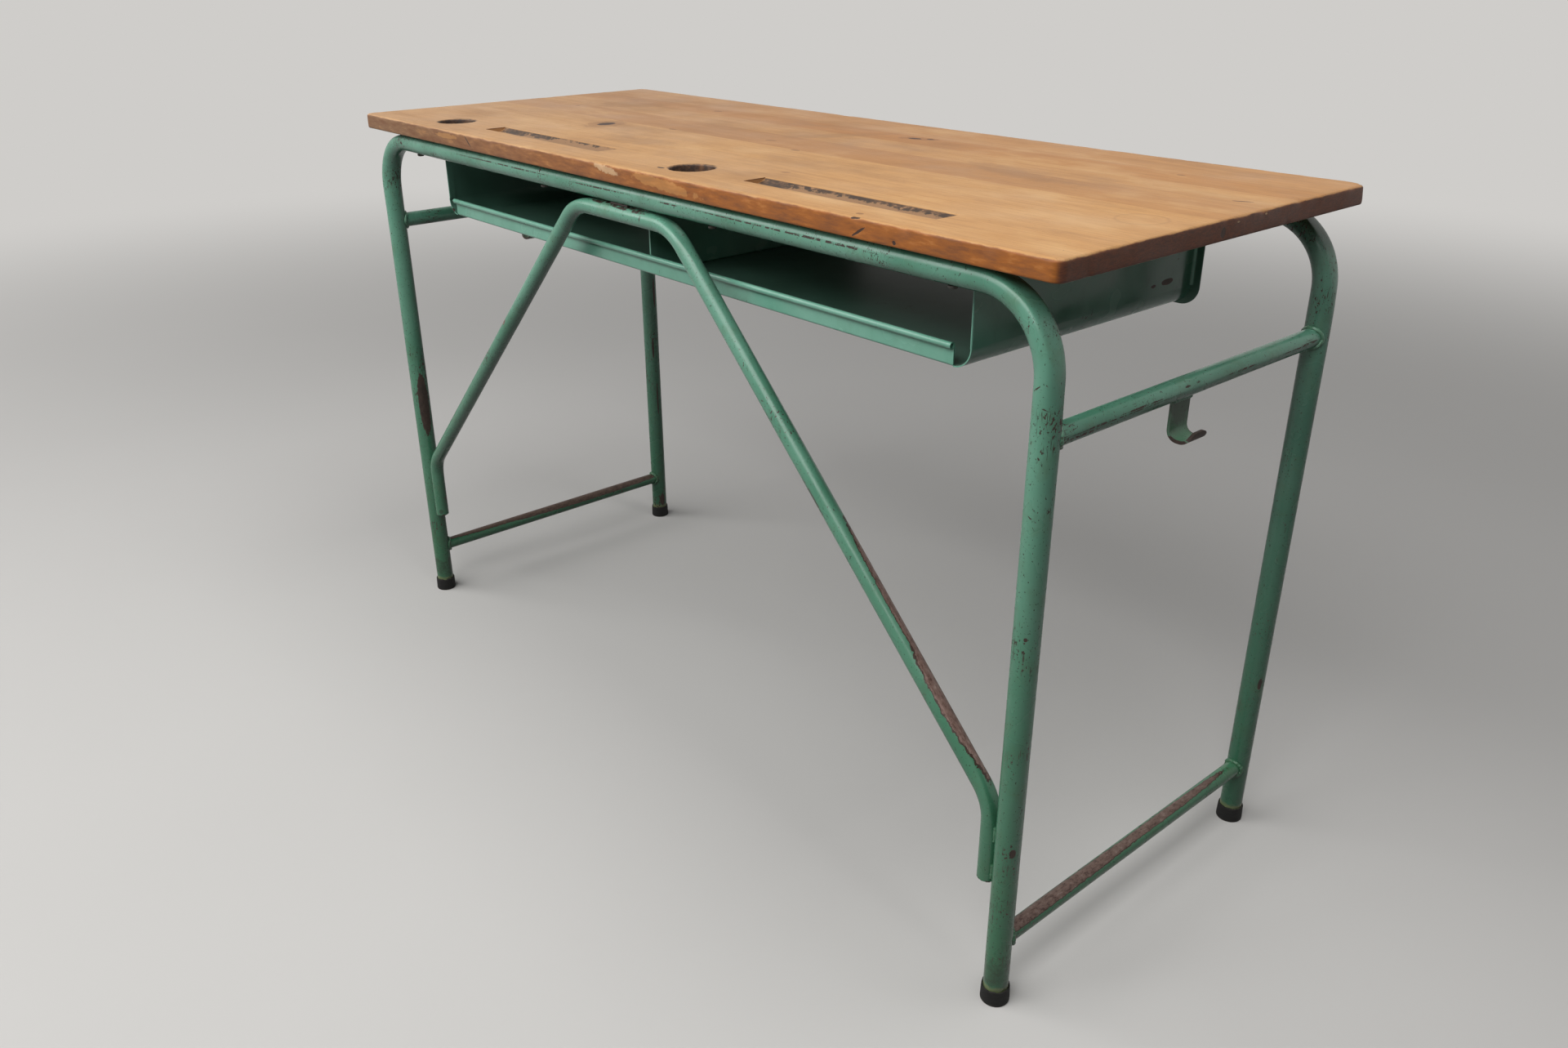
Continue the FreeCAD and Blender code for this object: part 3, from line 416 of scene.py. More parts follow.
def cut_groove(mesh, start, end, across=18, step=4.0):
    """A grid along the groove, its end walls and a flat rim round it; gives the rim's outer ring."""
    top = BOARD["top"]
    count = round((end - start) / step)
    ys = [GROOVE_Y - GROOVE_HALF + 2 * GROOVE_HALF * j / across for j in range(across + 1)]
    rows = []
    for i in range(count + 1):
        x = start + (end - start) * i / count
        row = []
        for j, y in enumerate(ys):
            depth = math.sqrt(GROOVE_RADIUS**2 - (y - GROOVE_Y) ** 2) - (GROOVE_RADIUS - GROOVE_DEPTH)
            rough = 0.25 * noise.noise(Vector((x * 0.12, y * 0.3, 3.0))) if 0 < j < across else 0.0
            row.append(mesh.verts.new(metres(x, y, top - max(0.0, depth + rough))))
        rows.append(row)
    for low, high in zip(rows, rows[1:]):
        for j in range(across):
            mesh.faces.new((low[j], high[j], high[j + 1], low[j + 1]))
    lips = []
    for row, x in ((rows[0], start), (rows[-1], end)):
        lip = [row[0]] + [mesh.verts.new(metres(x, y, top)) for y in ys[1:-1]] + [row[-1]]
        for j in range(across):
            corners = [lip[j], lip[j + 1], row[j + 1], row[j]]
            kept = [v for k, v in enumerate(corners) if v not in corners[:k]]
            mesh.faces.new(kept)
        lips.append(lip)
    near = [row[0] for row in rows]
    far = [row[-1] for row in rows]
    inner = near + lips[1][1:] + far[::-1][1:] + lips[0][::-1][1:-1]
    outer = []
    for vert in inner:
        x, y, _ = vert.co
        x += rim_step(x - (start + end) / 2 * MM, (end - start) / 2)
        y += rim_step(y - GROOVE_Y * MM, GROOVE_HALF)
        outer.append(mesh.verts.new((x, y, top * MM)))
    bridge(mesh, outer, inner)
    return outer


print("grooves:", len(GROOVES), "with a radius of", GROOVE_RADIUS, "mm")

# %% The board's mesh
CRISP_FROM = math.radians(38)


def board_mesh():
    mesh = bmesh.new()
    rings = []
    for at, outward in OUTLINE:
        place = Vector((at.x, at.y, 0.0))
        drift = noise.noise(place * 0.012) + noise.noise(place * 0.05 + Vector((0, 0, 7)))
        radius = min(ARRIS["most"], max(ARRIS["least"], ARRIS["middle"] + ARRIS["drift"] * drift))
        rings.append((at, outward, edge_profile(radius)))
    levels = len(rings[0][2])
    loops = []
    for level in range(levels):
        flat = level in (0, 1, levels - 2, levels - 1)
        points = [worn_point(at, outward, *profile[level], flat) for at, outward, profile in rings]
        loops.append(new_ring(mesh, points))
    for first, second in zip(loops, loops[1:]):
        bridge(mesh, first, second)
    top_edges, under_edges = closed_edges(mesh, loops[0]), closed_edges(mesh, loops[-1])
    for x, y in BORES:
        first, last = cut_bore(mesh, x, y)
        top_edges += closed_edges(mesh, first)
        under_edges += closed_edges(mesh, last)
    for start, end in GROOVES:
        top_edges += closed_edges(mesh, cut_groove(mesh, start, end))
    bmesh.ops.triangle_fill(mesh, use_beauty=True, edges=top_edges, normal=(0, 0, 1))
    bmesh.ops.triangle_fill(mesh, use_beauty=True, edges=under_edges, normal=(0, 0, -1))
    bmesh.ops.recalc_face_normals(mesh, faces=mesh.faces)
    open_edges = sum(not edge.is_manifold for edge in mesh.edges)
    for face in mesh.faces:
        face.smooth = True
    for edge in mesh.edges:
        if edge.is_manifold and edge.calc_face_angle() > CRISP_FROM:
            edge.smooth = False
    data = bpy.data.meshes.new("board")
    mesh.to_mesh(data)
    mesh.free()
    print("board:", len(data.polygons), "faces,", open_edges, "open edges")
    return data


board = bpy.data.objects.new("board", board_mesh())
bpy.context.scene.collection.objects.link(board)
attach(board, "root")
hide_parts("top_board")

# %% [markdown]
# ## Oiled beech
# Beech is a pale, even wood with fine dark flecks and hardly any figure. Under oil and hands it turned
# honey-coloured. The boards differ a little, and the joint behind the front board shows as a change of
# tone. Long noises give the fibres, shorter ones the flecks, and wide ones the blotches of old oil.

# %% Wood: tones of the boards
WOOD = {
    "planks": [
        (-236.5, "#c39562", 0.13), (-24.0, "#ad7d50", 0.71), (46.0, "#bd8e5d", 0.36),
        (106.0, "#b07c4c", 0.92), (156.0, "#b98a5d", 0.55),
    ],
    "left": "#c09c7c",
    "right": "#c8945a",
    "fibre": "#946539",
    "fleck": "#865a38",
    "dark_oil": "#8d6541",
    "pale_oil": "#dcb684",
    "front_edge": "#a46023",
    # The duller colour of the left part of the front edge is painted shade.
    "front_edge_left_shade": "#876343",
    "edge_dirt": "#6f4224",
    "edge_rubbed": "#cc9055",
    "edge_gold": "#d29a5a",
    "edge_chip": "#d8b78e",
    "end_grain": "#6a3a22",
    "end_rings": "#4a291a",
    "end_rubbed": "#9a6d50",
    "cut_wall": "#a87d52",
    "groove_far_tone": "#715a47",
    "ink": "#2a211c",
    "thin_ink": "#6a4f3a",
    "smudge": "#8f6a4a",
    "cup_ring": "#8f6743",
    "halo": "#7d5433",
    "faint_knot": "#6a4326",
    "knot": "#331c10",
    "speck": "#54392a",
}


def wood_planks(tree, coords):
    """The tone of the board under each point, and a number that sets its grain apart."""
    low, high = -BOARD["half_depth"] * MM, BOARD["half_depth"] * MM
    y = add(tree, "ShaderNodeSeparateXYZ", {0: coords}, out="Y")
    across = add(tree, "ShaderNodeMapRange", {0: y, 1: low, 2: high})
    ramps = []
    for pick in (lambda plank: linear(plank[1]), lambda plank: (plank[2], plank[2], plank[2], 1.0)):
        ramp = add(tree, "ShaderNodeValToRGB", {0: across})
        ramp.color_ramp.interpolation = "CONSTANT"
        elements = ramp.color_ramp.elements
        elements.remove(elements[-1])
        elements[0].position = 0.0
        elements[0].color = pick(WOOD["planks"][0])
        for plank in WOOD["planks"][1:]:
            elements.new((plank[0] * MM - low) / (high - low)).color = pick(plank)
        ramps.append(ramp.outputs["Color"])
    return ramps


def oiled_top(tree, coords, x):
    """The colour of the top and the underside, and the fibres for the bump."""
    plank, apart = wood_planks(tree, coords)
    apart = add(tree, "ShaderNodeVectorMath", {0: apart, "Scale": 3.7}, operation="SCALE")
    grain_at = add(tree, "ShaderNodeVectorMath", {0: coords, 1: apart}, operation="ADD")
    colour = stain(tree, plank, WOOD["left"], x, 0.0, -0.6, 0.5)
    colour = stain(tree, colour, WOOD["right"], x, 0.05, 0.65, 0.45)
    figure = grains(tree, grain_at, (260, 22, 22), Distortion=0.9)
    colour = stain(tree, colour, WOOD["fibre"], figure, 0.48, 0.76, 0.26)
    fibre = grains(tree, grain_at, (90, 1.9, 1.9), Detail=6.0, Roughness=0.62)
    colour = stain(tree, colour, WOOD["fibre"], fibre, 0.42, 0.72, 0.5)
    fleck = grains(tree, grain_at, (7, 0.9, 0.9), Detail=2.0)
    colour = stain(tree, colour, WOOD["fleck"], fleck, 0.62, 0.76, 0.5)
    blotch = grains(tree, coords, (130, 65, 65), Detail=5.0, Roughness=0.62)
    colour = stain(tree, colour, WOOD["dark_oil"], blotch, 0.50, 0.74, 0.55)
    colour = stain(tree, colour, WOOD["pale_oil"], blotch, 0.46, 0.28, 0.35)
    return colour, fibre


print("boards glued up:", len(WOOD["planks"]))

# %% [markdown]
# The edges took more dirt than the top: orange-brown along the front, dark brown on the end grain, with
# some golden places and pale chips. Towards its left end the front edge is duller, which is painted
# shade. Their boundary with the top is ragged, because sleeves rubbed the arris bare. The direction of
# the surface tells the edges from the top, shifted a little by a noise.

# %% Wood: dirty edges, with painted shade on the left of the front
EDGE_GOLD = [((100, -236.5, 737), (0, 4, 0), (56, 6, 5)), ((-360, -236.5, 739), (0, 0, 0), (30, 6, 3))]
EDGE_CHIPS = [((4, -236.5, 740), (0, 6, 0), (20, 6, 3.4)), ((-13, -236.5, 743), (0, 0, 0), (6, 6, 2.4)),
              ((600, 51, 742), (0, 0, 0), (6, 1.6, 0.9)), ((600, 6, 741), (0, 0, 0), (6, 2.0, 0.8))]


def dirty_edges_and_shade(tree, coords, x, top):
    """The colours of the four edges, with painted shade towards the left of the front edge, laid over the
    colour of the top.
    """
    facing = add(tree, "ShaderNodeNewGeometry", out="Normal")
    facing = add(tree, "ShaderNodeSeparateXYZ", {0: facing}).outputs
    # The front edge fades to a duller colour towards the left: painted shade.
    front = stain(tree, WOOD["front_edge_left_shade"], WOOD["front_edge"], x, -0.45, 0.15)
    blotch = grains(tree, coords, (34, 34, 7), Detail=6.0, Roughness=0.68)
    front = stain(tree, front, WOOD["edge_dirt"], blotch, 0.58, 0.36, 0.75)
    front = stain(tree, front, WOOD["edge_rubbed"], blotch, 0.56, 0.74, 0.6)
    gold = mark_mask(tree, coords, EDGE_GOLD, ragged=0.9, grit=14.0)
    front = stain(tree, front, WOOD["edge_gold"], gold, share=0.38)
    ring = grains(tree, coords, (30, 6, 1.6), Detail=4.0, Distortion=1.2)
    end = stain(tree, WOOD["end_grain"], WOOD["end_rings"], ring, 0.62, 0.36)
    streak = grains(tree, coords, (4, 2.2, 9), Detail=4.0, Roughness=0.7)
    end = stain(tree, end, WOOD["end_rubbed"], streak, 0.62, 0.76, 0.45)
    sideways = add(tree, "ShaderNodeMath", {0: facing["X"]}, operation="ABSOLUTE")
    edge = stain(tree, front, end, sideways, 0.5, 0.8)
    chips = mark_mask(tree, coords, EDGE_CHIPS, ragged=1.0, grit=4.0)
    edge = stain(tree, edge, WOOD["edge_chip"], chips, share=0.6)
    rub = grains(tree, coords, (14, 14, 9), Detail=5.0, Roughness=0.65)
    upright = add(tree, "ShaderNodeMath", {0: rub, 1: 0.9, 2: facing["Z"]}, operation="MULTIPLY_ADD")
    return stain(tree, top, edge, upright, 1.17, 0.87)


print("golden places and chips on the edges:", len(EDGE_GOLD) + len(EDGE_CHIPS))

# %% [markdown]
# Ink ran into the bores and along the grooves. It stayed on the far wall of each groove as a ragged
# dark line, thicker towards the right, and as a blob at the end next to the inkwell. The square end
# walls are plain cut wood. The ink is kept to the grooves by their own outline, and by height to what
# lies under the top.

# %% Wood: ink in the grooves and bores
GROOVE_BLOBS = [((-300, -170, 743), (0, 0, 0), (28, 7, 9)), ((206, -172, 743), (0, 0, 0), (22, 8, 9)),
                ((433, -181, 743), (0, 0, 0), (6, 9, 5)), ((-240, -168, 743), (0, 0, 0), (26, 5, 5))]
INK_X = (-100.0, 450.0)
INK_Y = (-176.5, -181.0)
INK_WAVE = 20.0
FAR_TONE_Y = (-192.0, -172.0)
INKED_RADIUS = BORE_RADIUS + 1.6


def in_grooves(tree, parts):
    """1 under the top within a groove's width, and the distance past a groove's ends, less than 0 inside."""
    x, y, z = parts["X"], parts["Y"], parts["Z"]
    top = BOARD["top"]
    inside = add(tree, "ShaderNodeMapRange", {0: z, 1: (top - 0.3) * MM, 2: (top - 1.0) * MM})
    aside = add(tree, "ShaderNodeMath", {0: y, 1: GROOVE_Y * MM}, operation="SUBTRACT")
    aside = add(tree, "ShaderNodeMath", {0: aside}, operation="ABSOLUTE")
    narrow = add(tree, "ShaderNodeMapRange", {0: aside, 1: (GROOVE_HALF + 0.6) * MM, 2: GROOVE_HALF * MM})
    inside = add(tree, "ShaderNodeMath", {0: inside, 1: narrow}, operation="MULTIPLY")
    past_both = []
    for start, end in GROOVES:
        past = add(tree, "ShaderNodeMath", {0: x, 1: (start + end) / 2 * MM}, operation="SUBTRACT")
        past = add(tree, "ShaderNodeMath", {0: past}, operation="ABSOLUTE")
        past_both.append(
            add(tree, "ShaderNodeMath", {0: past, 1: (end - start) / 2 * MM}, operation="SUBTRACT"))
    return inside, add(tree, "ShaderNodeMath", dict(enumerate(past_both)), operation="MINIMUM")


def inked(tree, coords, parts, colour):
    """The colour with cut end walls, a darker far half and ink in the grooves, and ink in the bores."""
    inside, past = in_grooves(tree, parts)
    walled = add(tree, "ShaderNodeMapRange", {0: past, 1: 0.6 * MM, 2: 0.0})
    walled = add(tree, "ShaderNodeMath", {0: inside, 1: walled}, operation="MULTIPLY")
    colour = stain(tree, colour, WOOD["cut_wall"], walled)
    spans = add(tree, "ShaderNodeMapRange", {0: past, 1: -0.3 * MM, 2: -1.5 * MM})
    inside = add(tree, "ShaderNodeMath", {0: inside, 1: spans}, operation="MULTIPLY")

    # The groove is painted darker, most towards its far wall.
    far_half = {0: parts["Y"], 1: FAR_TONE_Y[0] * MM, 2: FAR_TONE_Y[1] * MM, 3: 0.25, 4: 1.0}
    far_half = add(tree, "ShaderNodeMapRange", far_half)
    far_half = add(tree, "ShaderNodeMath", {0: far_half, 1: inside}, operation="MULTIPLY")
    colour = stain(tree, colour, WOOD["groove_far_tone"], far_half, share=0.6)

    wave = grains(tree, coords, (8, 5, 5), Detail=5.0, Roughness=0.62)
    limit = {0: parts["X"], 1: INK_X[0] * MM, 2: INK_X[1] * MM, 3: INK_Y[0] * MM, 4: INK_Y[1] * MM}
    limit = add(tree, "ShaderNodeMapRange", limit)
    limit = add(tree, "ShaderNodeMath", {0: wave, 1: INK_WAVE * MM, 2: limit}, operation="MULTIPLY_ADD")
    line = add(tree, "ShaderNodeMath", {0: parts["Y"], 1: limit}, operation="SUBTRACT")
    line = add(tree, "ShaderNodeMapRange", {0: line, 1: -0.8 * MM, 2: 0.8 * MM})
    blobs = mark_mask(tree, coords, GROOVE_BLOBS, ragged=0.9, grit=6.0)
    dark = add(tree, "ShaderNodeMath", {0: line, 1: blobs}, operation="MAXIMUM")
    dark = add(tree, "ShaderNodeMath", {0: dark, 1: inside}, operation="MULTIPLY")
    rims = [((x, y, 741), (0, 0, 0), (INKED_RADIUS, INKED_RADIUS, 60)) for x, y in BORES]
    rims = mark_mask(tree, coords, rims, ragged=0.09, grit=5.0)
    dark = add(tree, "ShaderNodeMath", {0: dark, 1: rims}, operation="MAXIMUM")
    ink = stain(tree, WOOD["ink"], WOOD["thin_ink"], wave, 0.45, 0.68)
    return stain(tree, colour, ink, dark, share=0.92)


print("ink blobs:", len(GROOVE_BLOBS))

# %% [markdown]
# Knots, burns and cracks sit where the photograph shows them. The three largest on the top have a wider,
# paler halo of crooked fibres. A cup left a faint ring near the right end, and a spill a brown smudge
# across the middle. The finish is an oil, so it is more silky than glossy, with an index of about 1.45.

# %% Wood: knots, smudges and the material
KNOTS = [
    ((-271, -53, 746), (0, 0, 20), (10, 14, 4)), ((95, 141, 746), (0, 0, 10), (9, 4.6, 4)),
    ((113, 149, 746), (0, 0, 10), (5, 3, 4)), ((63, -207, 746), (0, 0, 0), (6, 2.6, 4)),
    ((567, 66, 746), (0, 0, 24), (10, 1.3, 3)), ((-303, -236.5, 738), (0, 40, 0), (9, 4, 0.9)),
    ((388, -236.5, 734), (0, -30, 0), (9, 4, 1.2)), ((430, -236.5, 731), (0, 0, 0), (2.4, 3, 1.9)),
    ((600, -16, 735), (0, 0, 0), (3, 3.6, 4.6)), ((384, -236, 745), (0, -8, 0), (6, 3, 1.0)),
]
FAINT_KNOTS = [
    ((-277, 136, 746), (0, 0, 10), (7, 4, 4)), ((-10, 6, 746), (0, 0, 15), (8, 3, 4)),
    ((67, -24, 746), (0, 0, 0), (7, 3, 4)), ((-170, -21, 746), (0, 0, 0), (7, 3, 4)),
    ((173, -131, 746), (0, 0, 30), (5, 2.4, 4)), ((377, -224, 746), (0, 0, 0), (4, 3, 4)),
    ((-470, 30, 746), (0, 0, 5), (5, 2.4, 4)), ((452, 148, 746), (0, 0, 0), (5, 2.6, 4)),
]
HALOS = [(place, turn, tuple(2.4 * size for size in half)) for place, turn, half in KNOTS[:3]]
SMUDGES = [((16, 99, 746), (0, 0, -30), (15, 56, 9)), ((-120, -110, 746), (0, 0, 8), (60, 22, 9)),
           ((330, 40, 746), (0, 0, -12), (70, 18, 9)), ((-430, 90, 746), (0, 0, 20), (50, 30, 9))]
CUP_AT = (553, -67, 746)
CUP_RADII = (23.5, 21.0)


def cup_ring(tree, coords):
    """The faint ring between two discs."""
    discs = [[(CUP_AT, (0, 0, 0), (radius, radius, 5))] for radius in CUP_RADII]
    outer, inner = (mark_mask(tree, coords, disc, ragged=0.12, grit=8.0) for disc in discs)
    return add(tree, "ShaderNodeMath", {0: outer, 1: inner}, operation="SUBTRACT")


def oiled_beech():
    material, tree, coords = new_material("oiled_beech_board")
    parts = add(tree, "ShaderNodeSeparateXYZ", {0: coords}).outputs
    colour, fibre = oiled_top(tree, coords, parts["X"])
    smudge = mark_mask(tree, coords, SMUDGES, ragged=1.0, grit=22.0, soft=0.35)
    colour = stain(tree, colour, WOOD["smudge"], smudge, share=0.4)
    colour = dirty_edges_and_shade(tree, coords, parts["X"], colour)
    colour = inked(tree, coords, parts, colour)
    colour = stain(tree, colour, WOOD["cup_ring"], cup_ring(tree, coords), share=0.32)
    halo = mark_mask(tree, coords, HALOS, ragged=0.5, grit=9.0)
    colour = stain(tree, colour, WOOD["halo"], halo, share=0.4)
    faint = mark_mask(tree, coords, FAINT_KNOTS, ragged=0.4)
    colour = stain(tree, colour, WOOD["faint_knot"], faint, share=0.62)
    knot = mark_mask(tree, coords, KNOTS, ragged=0.3, grit=3.0)
    colour = stain(tree, colour, WOOD["knot"], knot, share=0.98)

    speck = grains(tree, coords, (5.5, 4, 4), Roughness=0.6)
    speck = add(tree, "ShaderNodeMapRange", {0: speck, 1: 0.735, 2: 0.77})
    colour = stain(tree, colour, WOOD["speck"], speck, share=0.75)
    height = add(tree, "ShaderNodeMath", {0: fibre, 1: 0.5}, operation="MULTIPLY")
    height = add(tree, "ShaderNodeMath", {0: knot, 1: -0.6, 2: height}, operation="MULTIPLY_ADD")
    height = add(tree, "ShaderNodeMath", {0: speck, 1: -0.5, 2: height}, operation="MULTIPLY_ADD")
    bump = add(tree, "ShaderNodeBump", {"Height": height, "Distance": 0.35 * MM, "Strength": 0.5})
    rubbed = grains(tree, coords, (90, 60, 40), Detail=4.0)
    roughness = add(tree, "ShaderNodeMapRange", {0: rubbed, 1: 0.3, 2: 0.7, 3: 0.44, 4: 0.62})
    oiled = {"Base Color": colour, "Roughness": roughness, "IOR": 1.45, "Normal": bump}
    shader = add(tree, "ShaderNodeBsdfPrincipled", oiled)
    add(tree, "ShaderNodeOutputMaterial", {"Surface": shader})
    return material


board.data.materials.append(oiled_beech())
print("board finished in", board.data.materials[0].name, "with", len(KNOTS) + len(FAINT_KNOTS), "dark marks")

# %% [markdown]
# ## Mint-green enamel on steel
# The frame and the tray are sprayed with a glossy oil enamel over mild steel. The coat is smooth, with a
# faint waviness, and fifty years of shoes and bags have chipped it. Towards the floor it is painted
# deeper. A chip shows a dark edge of primer and old rust. Where shoes rub every day the steel is
# burnished to a pinkish brown with a soft sheen, and where it lay bare and damp it is dull dark rust.
# The gloss comes from a low roughness with the usual index of refraction of paint, 1.5.

# %% The enamel's colours
# The inside colour of a hollow sheet is painted shade.
ENAMEL = {
    "light": "#6ba28b", "deep": "#538d75", "low": "#2a643f", "olive": "#4c603c", "grime": "#2a3325",
    "above_rubber": "#8f8a5c", "painted_shade_inside": "#1c3025", "chip": "#33261e", "worn_rim": "#38261e",
}
RUSTED = {"dark": "#221813", "brown": "#352720", "worn": "#48382f", "rough": 0.68, "shine": 0.0}
BURNISHED = {"dark": "#4c322a", "brown": "#80665d", "worn": "#a8968e", "rough": 0.42, "shine": 0.3}
LIT_HEIGHT, LOW_HEIGHT = 700.0, 60.0
print("enamel colours:", ENAMEL)

# %% [markdown]
# Chips are rare grains of a fine noise, let through only where a coarse noise is high, so they come in
# groups, as they do where a chair keeps knocking. Hairlines are the same with long thin grains. Placed
# scratches are broken up by a noise, because paint breaks off in bits. The real specks are under 1 mm
# and are drawn up to 3 mm so that they show.

# %% Chips, hairlines and scratches
def chipped(tree, coords, scratches, knocks, chips):
    """How much of the coat is missing at each point, from 0 to 1."""
    where = grains(tree, coords, (55, 55, 70), Detail=2.0)
    fine = grains(tree, coords, (2.6, 2.6, 4.0), Detail=2.0)
    hair = grains(tree, coords, knocks, Detail=1.0, Distortion=0.6)
    missing = []
    for grain, low, soft, spread in ((fine, 1.335, 0.03, 0.08), (hair, 1.34, 0.05, 0.07)):
        both = add(tree, "ShaderNodeMath", {0: grain, 1: where}, operation="ADD")
        low -= spread * chips
        missing.append(add(tree, "ShaderNodeMapRange", {0: both, 1: low, 2: low + soft}))
    missing = add(tree, "ShaderNodeMath", dict(enumerate(missing)), operation="MAXIMUM")
    if scratches:
        line = mark_mask(tree, coords, scratches, ragged=0.55, grit=2.4)
        broken = grains(tree, coords, (7, 7, 7), Detail=4.0, Roughness=0.7)
        broken = add(tree, "ShaderNodeMapRange", {0: broken, 1: 0.42, 2: 0.50})
        line = add(tree, "ShaderNodeMath", {0: line, 1: broken}, operation="MULTIPLY")
        missing = add(tree, "ShaderNodeMath", {0: missing, 1: line}, operation="MAXIMUM")
    return missing


print("chips come in groups")

# %% [markdown]
# The coat drifts a little between a lighter and a deeper green, gets deeper towards the floor, and
# carries olive smears, dark dots, a yellow line above the rubber and grime in the corners. Inside a
# sheet that stands open, dust makes the gloss dull and painted shade darkens the colour: the faces that
# look towards a point in the hollow are the inside ones.

# %% The coat and the inside of a hollow
def coat_colour(tree, coords, paint, chips, smeared):
    """The colour of the whole coat, before anything breaks it."""
    height = add(tree, "ShaderNodeSeparateXYZ", {0: coords}, out="Z")
    drift = grains(tree, coords, (90, 90, 120))
    colour = stain(tree, paint["deep"], paint["light"], drift, 0.32, 0.58)
    # The coat is painted deeper towards the floor.
    colour = stain(tree, colour, paint["low"], height, LIT_HEIGHT * MM, LOW_HEIGHT * MM, 0.85)
    smears = grains(tree, coords, (24, 24, 34), Detail=6.0, Roughness=0.66)
    colour = stain(tree, colour, paint["olive"], smears, 0.52, 0.74, smeared)
    dots = grains(tree, coords, (1.9, 1.9, 2.6), Detail=1.0)
    colour = stain(tree, colour, paint["grime"], dots, 0.67, 0.75, max(0.0, min(1.0, 0.8 * chips)))
    rubbed = grains(tree, coords, (5, 5, 3), Detail=4.0)
    rubbed = add(tree, "ShaderNodeMath", {0: rubbed, 1: 8.0 * MM, 2: height}, operation="MULTIPLY_ADD")
    return stain(tree, colour, paint["above_rubber"], rubbed, 28.5 * MM, 25.5 * MM, 0.5)


def facing_inwards(tree, coords, hollow):
    """How far each point lies before a point in the hollow, along its own normal, in metres."""
    inward = add(tree, "ShaderNodeVectorMath", {0: metres(*hollow), 1: coords}, operation="SUBTRACT")
    normal = add(tree, "ShaderNodeNewGeometry", out="Normal")
    return add(tree, "ShaderNodeVectorMath", {0: inward, 1: normal}, out="Value", operation="DOT_PRODUCT")


print("the coat is deepest", LOW_HEIGHT, "mm above the floor")

# %% [markdown]
# Bare metal has long grains along the tube. Between the grains lie the darker tones, and a dark rim of
# old primer runs round each worn patch. Where metal lies bare the relief drops by the coat's thickness
# and the fine waviness of the spray gives way to pits.

# %% The enamel's recipe
def worn_colour(tree, colour, metal, streaks, patch):
    """The colour with bare metal in the worn patches and a dark rim round them."""
    steel = stain(tree, metal["dark"], metal["brown"], streaks, 0.36, 0.50)
    steel = stain(tree, steel, metal["worn"], streaks, 0.54, 0.74)
    rim = add(tree, "ShaderNodeMath", {0: patch, 1: 0.5, 2: 0.45}, operation="COMPARE")
    colour = stain(tree, colour, steel, patch)
    return stain(tree, colour, ENAMEL["worn_rim"], rim)


def coat_relief(tree, coords, streaks, bare):
    """The bump of the spray's waviness, of pits in bare metal and of the step between them."""
    peel = grains(tree, coords, (3.5, 3.5, 3.5), Detail=1.0)
    coat = add(tree, "ShaderNodeMath", {0: peel, 1: 0.06}, operation="MULTIPLY")
    pits = add(tree, "ShaderNodeMath", {0: streaks, 1: 0.5}, operation="MULTIPLY")
    relief = add(tree, "ShaderNodeMix", {0: bare, 2: coat, 3: pits}, out=0, data_type="FLOAT")
    step = add(tree, "ShaderNodeMath", {0: bare, 1: -0.3, 2: relief}, operation="MULTIPLY_ADD")
    return add(tree, "ShaderNodeBump", {"Height": step, "Distance": 0.2 * MM, "Strength": 0.5})


def enamel(name, worn=(), scratches=(), grimy=(), metal=RUSTED, along=((5, 5, 8), (0, 0, 0)),
           knocks=(0.9, 0.9, 14), chips=0.5, gloss=0.24, smeared=0.35, tone=None, hollow=None):
    """Enamel with placed patches of bare metal, placed scratches, grimy places and scattered chips.

    Along gives the grains of the bare metal and their turn, knocks the grains of the hairlines. A hollow
    is a point that the inside faces of a sheet look towards; they are darkened with painted shade."""
    material, tree, coords = new_material(name)
    paint = {**ENAMEL, **(tone or {})}
    colour = coat_colour(tree, coords, paint, chips, smeared)
    if hollow:
        inward = facing_inwards(tree, coords, hollow)
        # Painted shade darkens the faces inside the hollow.
        colour = stain(tree, colour, paint["painted_shade_inside"], inward, 1.0 * MM, 6.0 * MM, 0.7)
    if grimy:
        dirt = mark_mask(tree, coords, grimy, ragged=0.6, grit=9.0, soft=0.2)
        colour = stain(tree, colour, paint["grime"], dirt, share=0.65)

    bare = chipped(tree, coords, scratches, knocks, chips)
    colour = stain(tree, colour, paint["chip"], bare)
    streaks = grains(tree, coords, *along, Detail=8.0, Roughness=0.7)
    shine = 0.0
    if worn:
        patch = mark_mask(tree, coords, worn, ragged=0.22, grit=5.0)
        colour = worn_colour(tree, colour, metal, streaks, patch)
        bare = add(tree, "ShaderNodeMath", {0: bare, 1: patch}, operation="MAXIMUM")
        if metal["shine"]:
            shine = add(tree, "ShaderNodeMapRange", {0: patch, 4: metal["shine"]})

    handled = grains(tree, coords, (40, 40, 40), Detail=2.0)
    rough = add(tree, "ShaderNodeMapRange", {0: handled, 1: 0.3, 2: 0.7, 3: gloss - 0.06, 4: gloss + 0.10})
    rough = add(tree, "ShaderNodeMix", {0: bare, 2: rough, 3: metal["rough"]}, out=0, data_type="FLOAT")
    if hollow:
        dull = add(tree, "ShaderNodeMapRange", {0: inward, 1: 1.0 * MM, 2: 6.0 * MM, 4: 0.48})
        rough = add(tree, "ShaderNodeMath", {0: rough, 1: dull}, operation="MAXIMUM")
    relief = coat_relief(tree, coords, streaks, bare)
    coated = {"Base Color": colour, "Roughness": rough, "IOR": 1.5, "Metallic": shine, "Normal": relief}
    shader = add(tree, "ShaderNodeBsdfPrincipled", coated)
    add(tree, "ShaderNodeOutputMaterial", {"Surface": shader})
    return material


print("enamel mixed from", ENAMEL["light"], "and", ENAMEL["deep"])

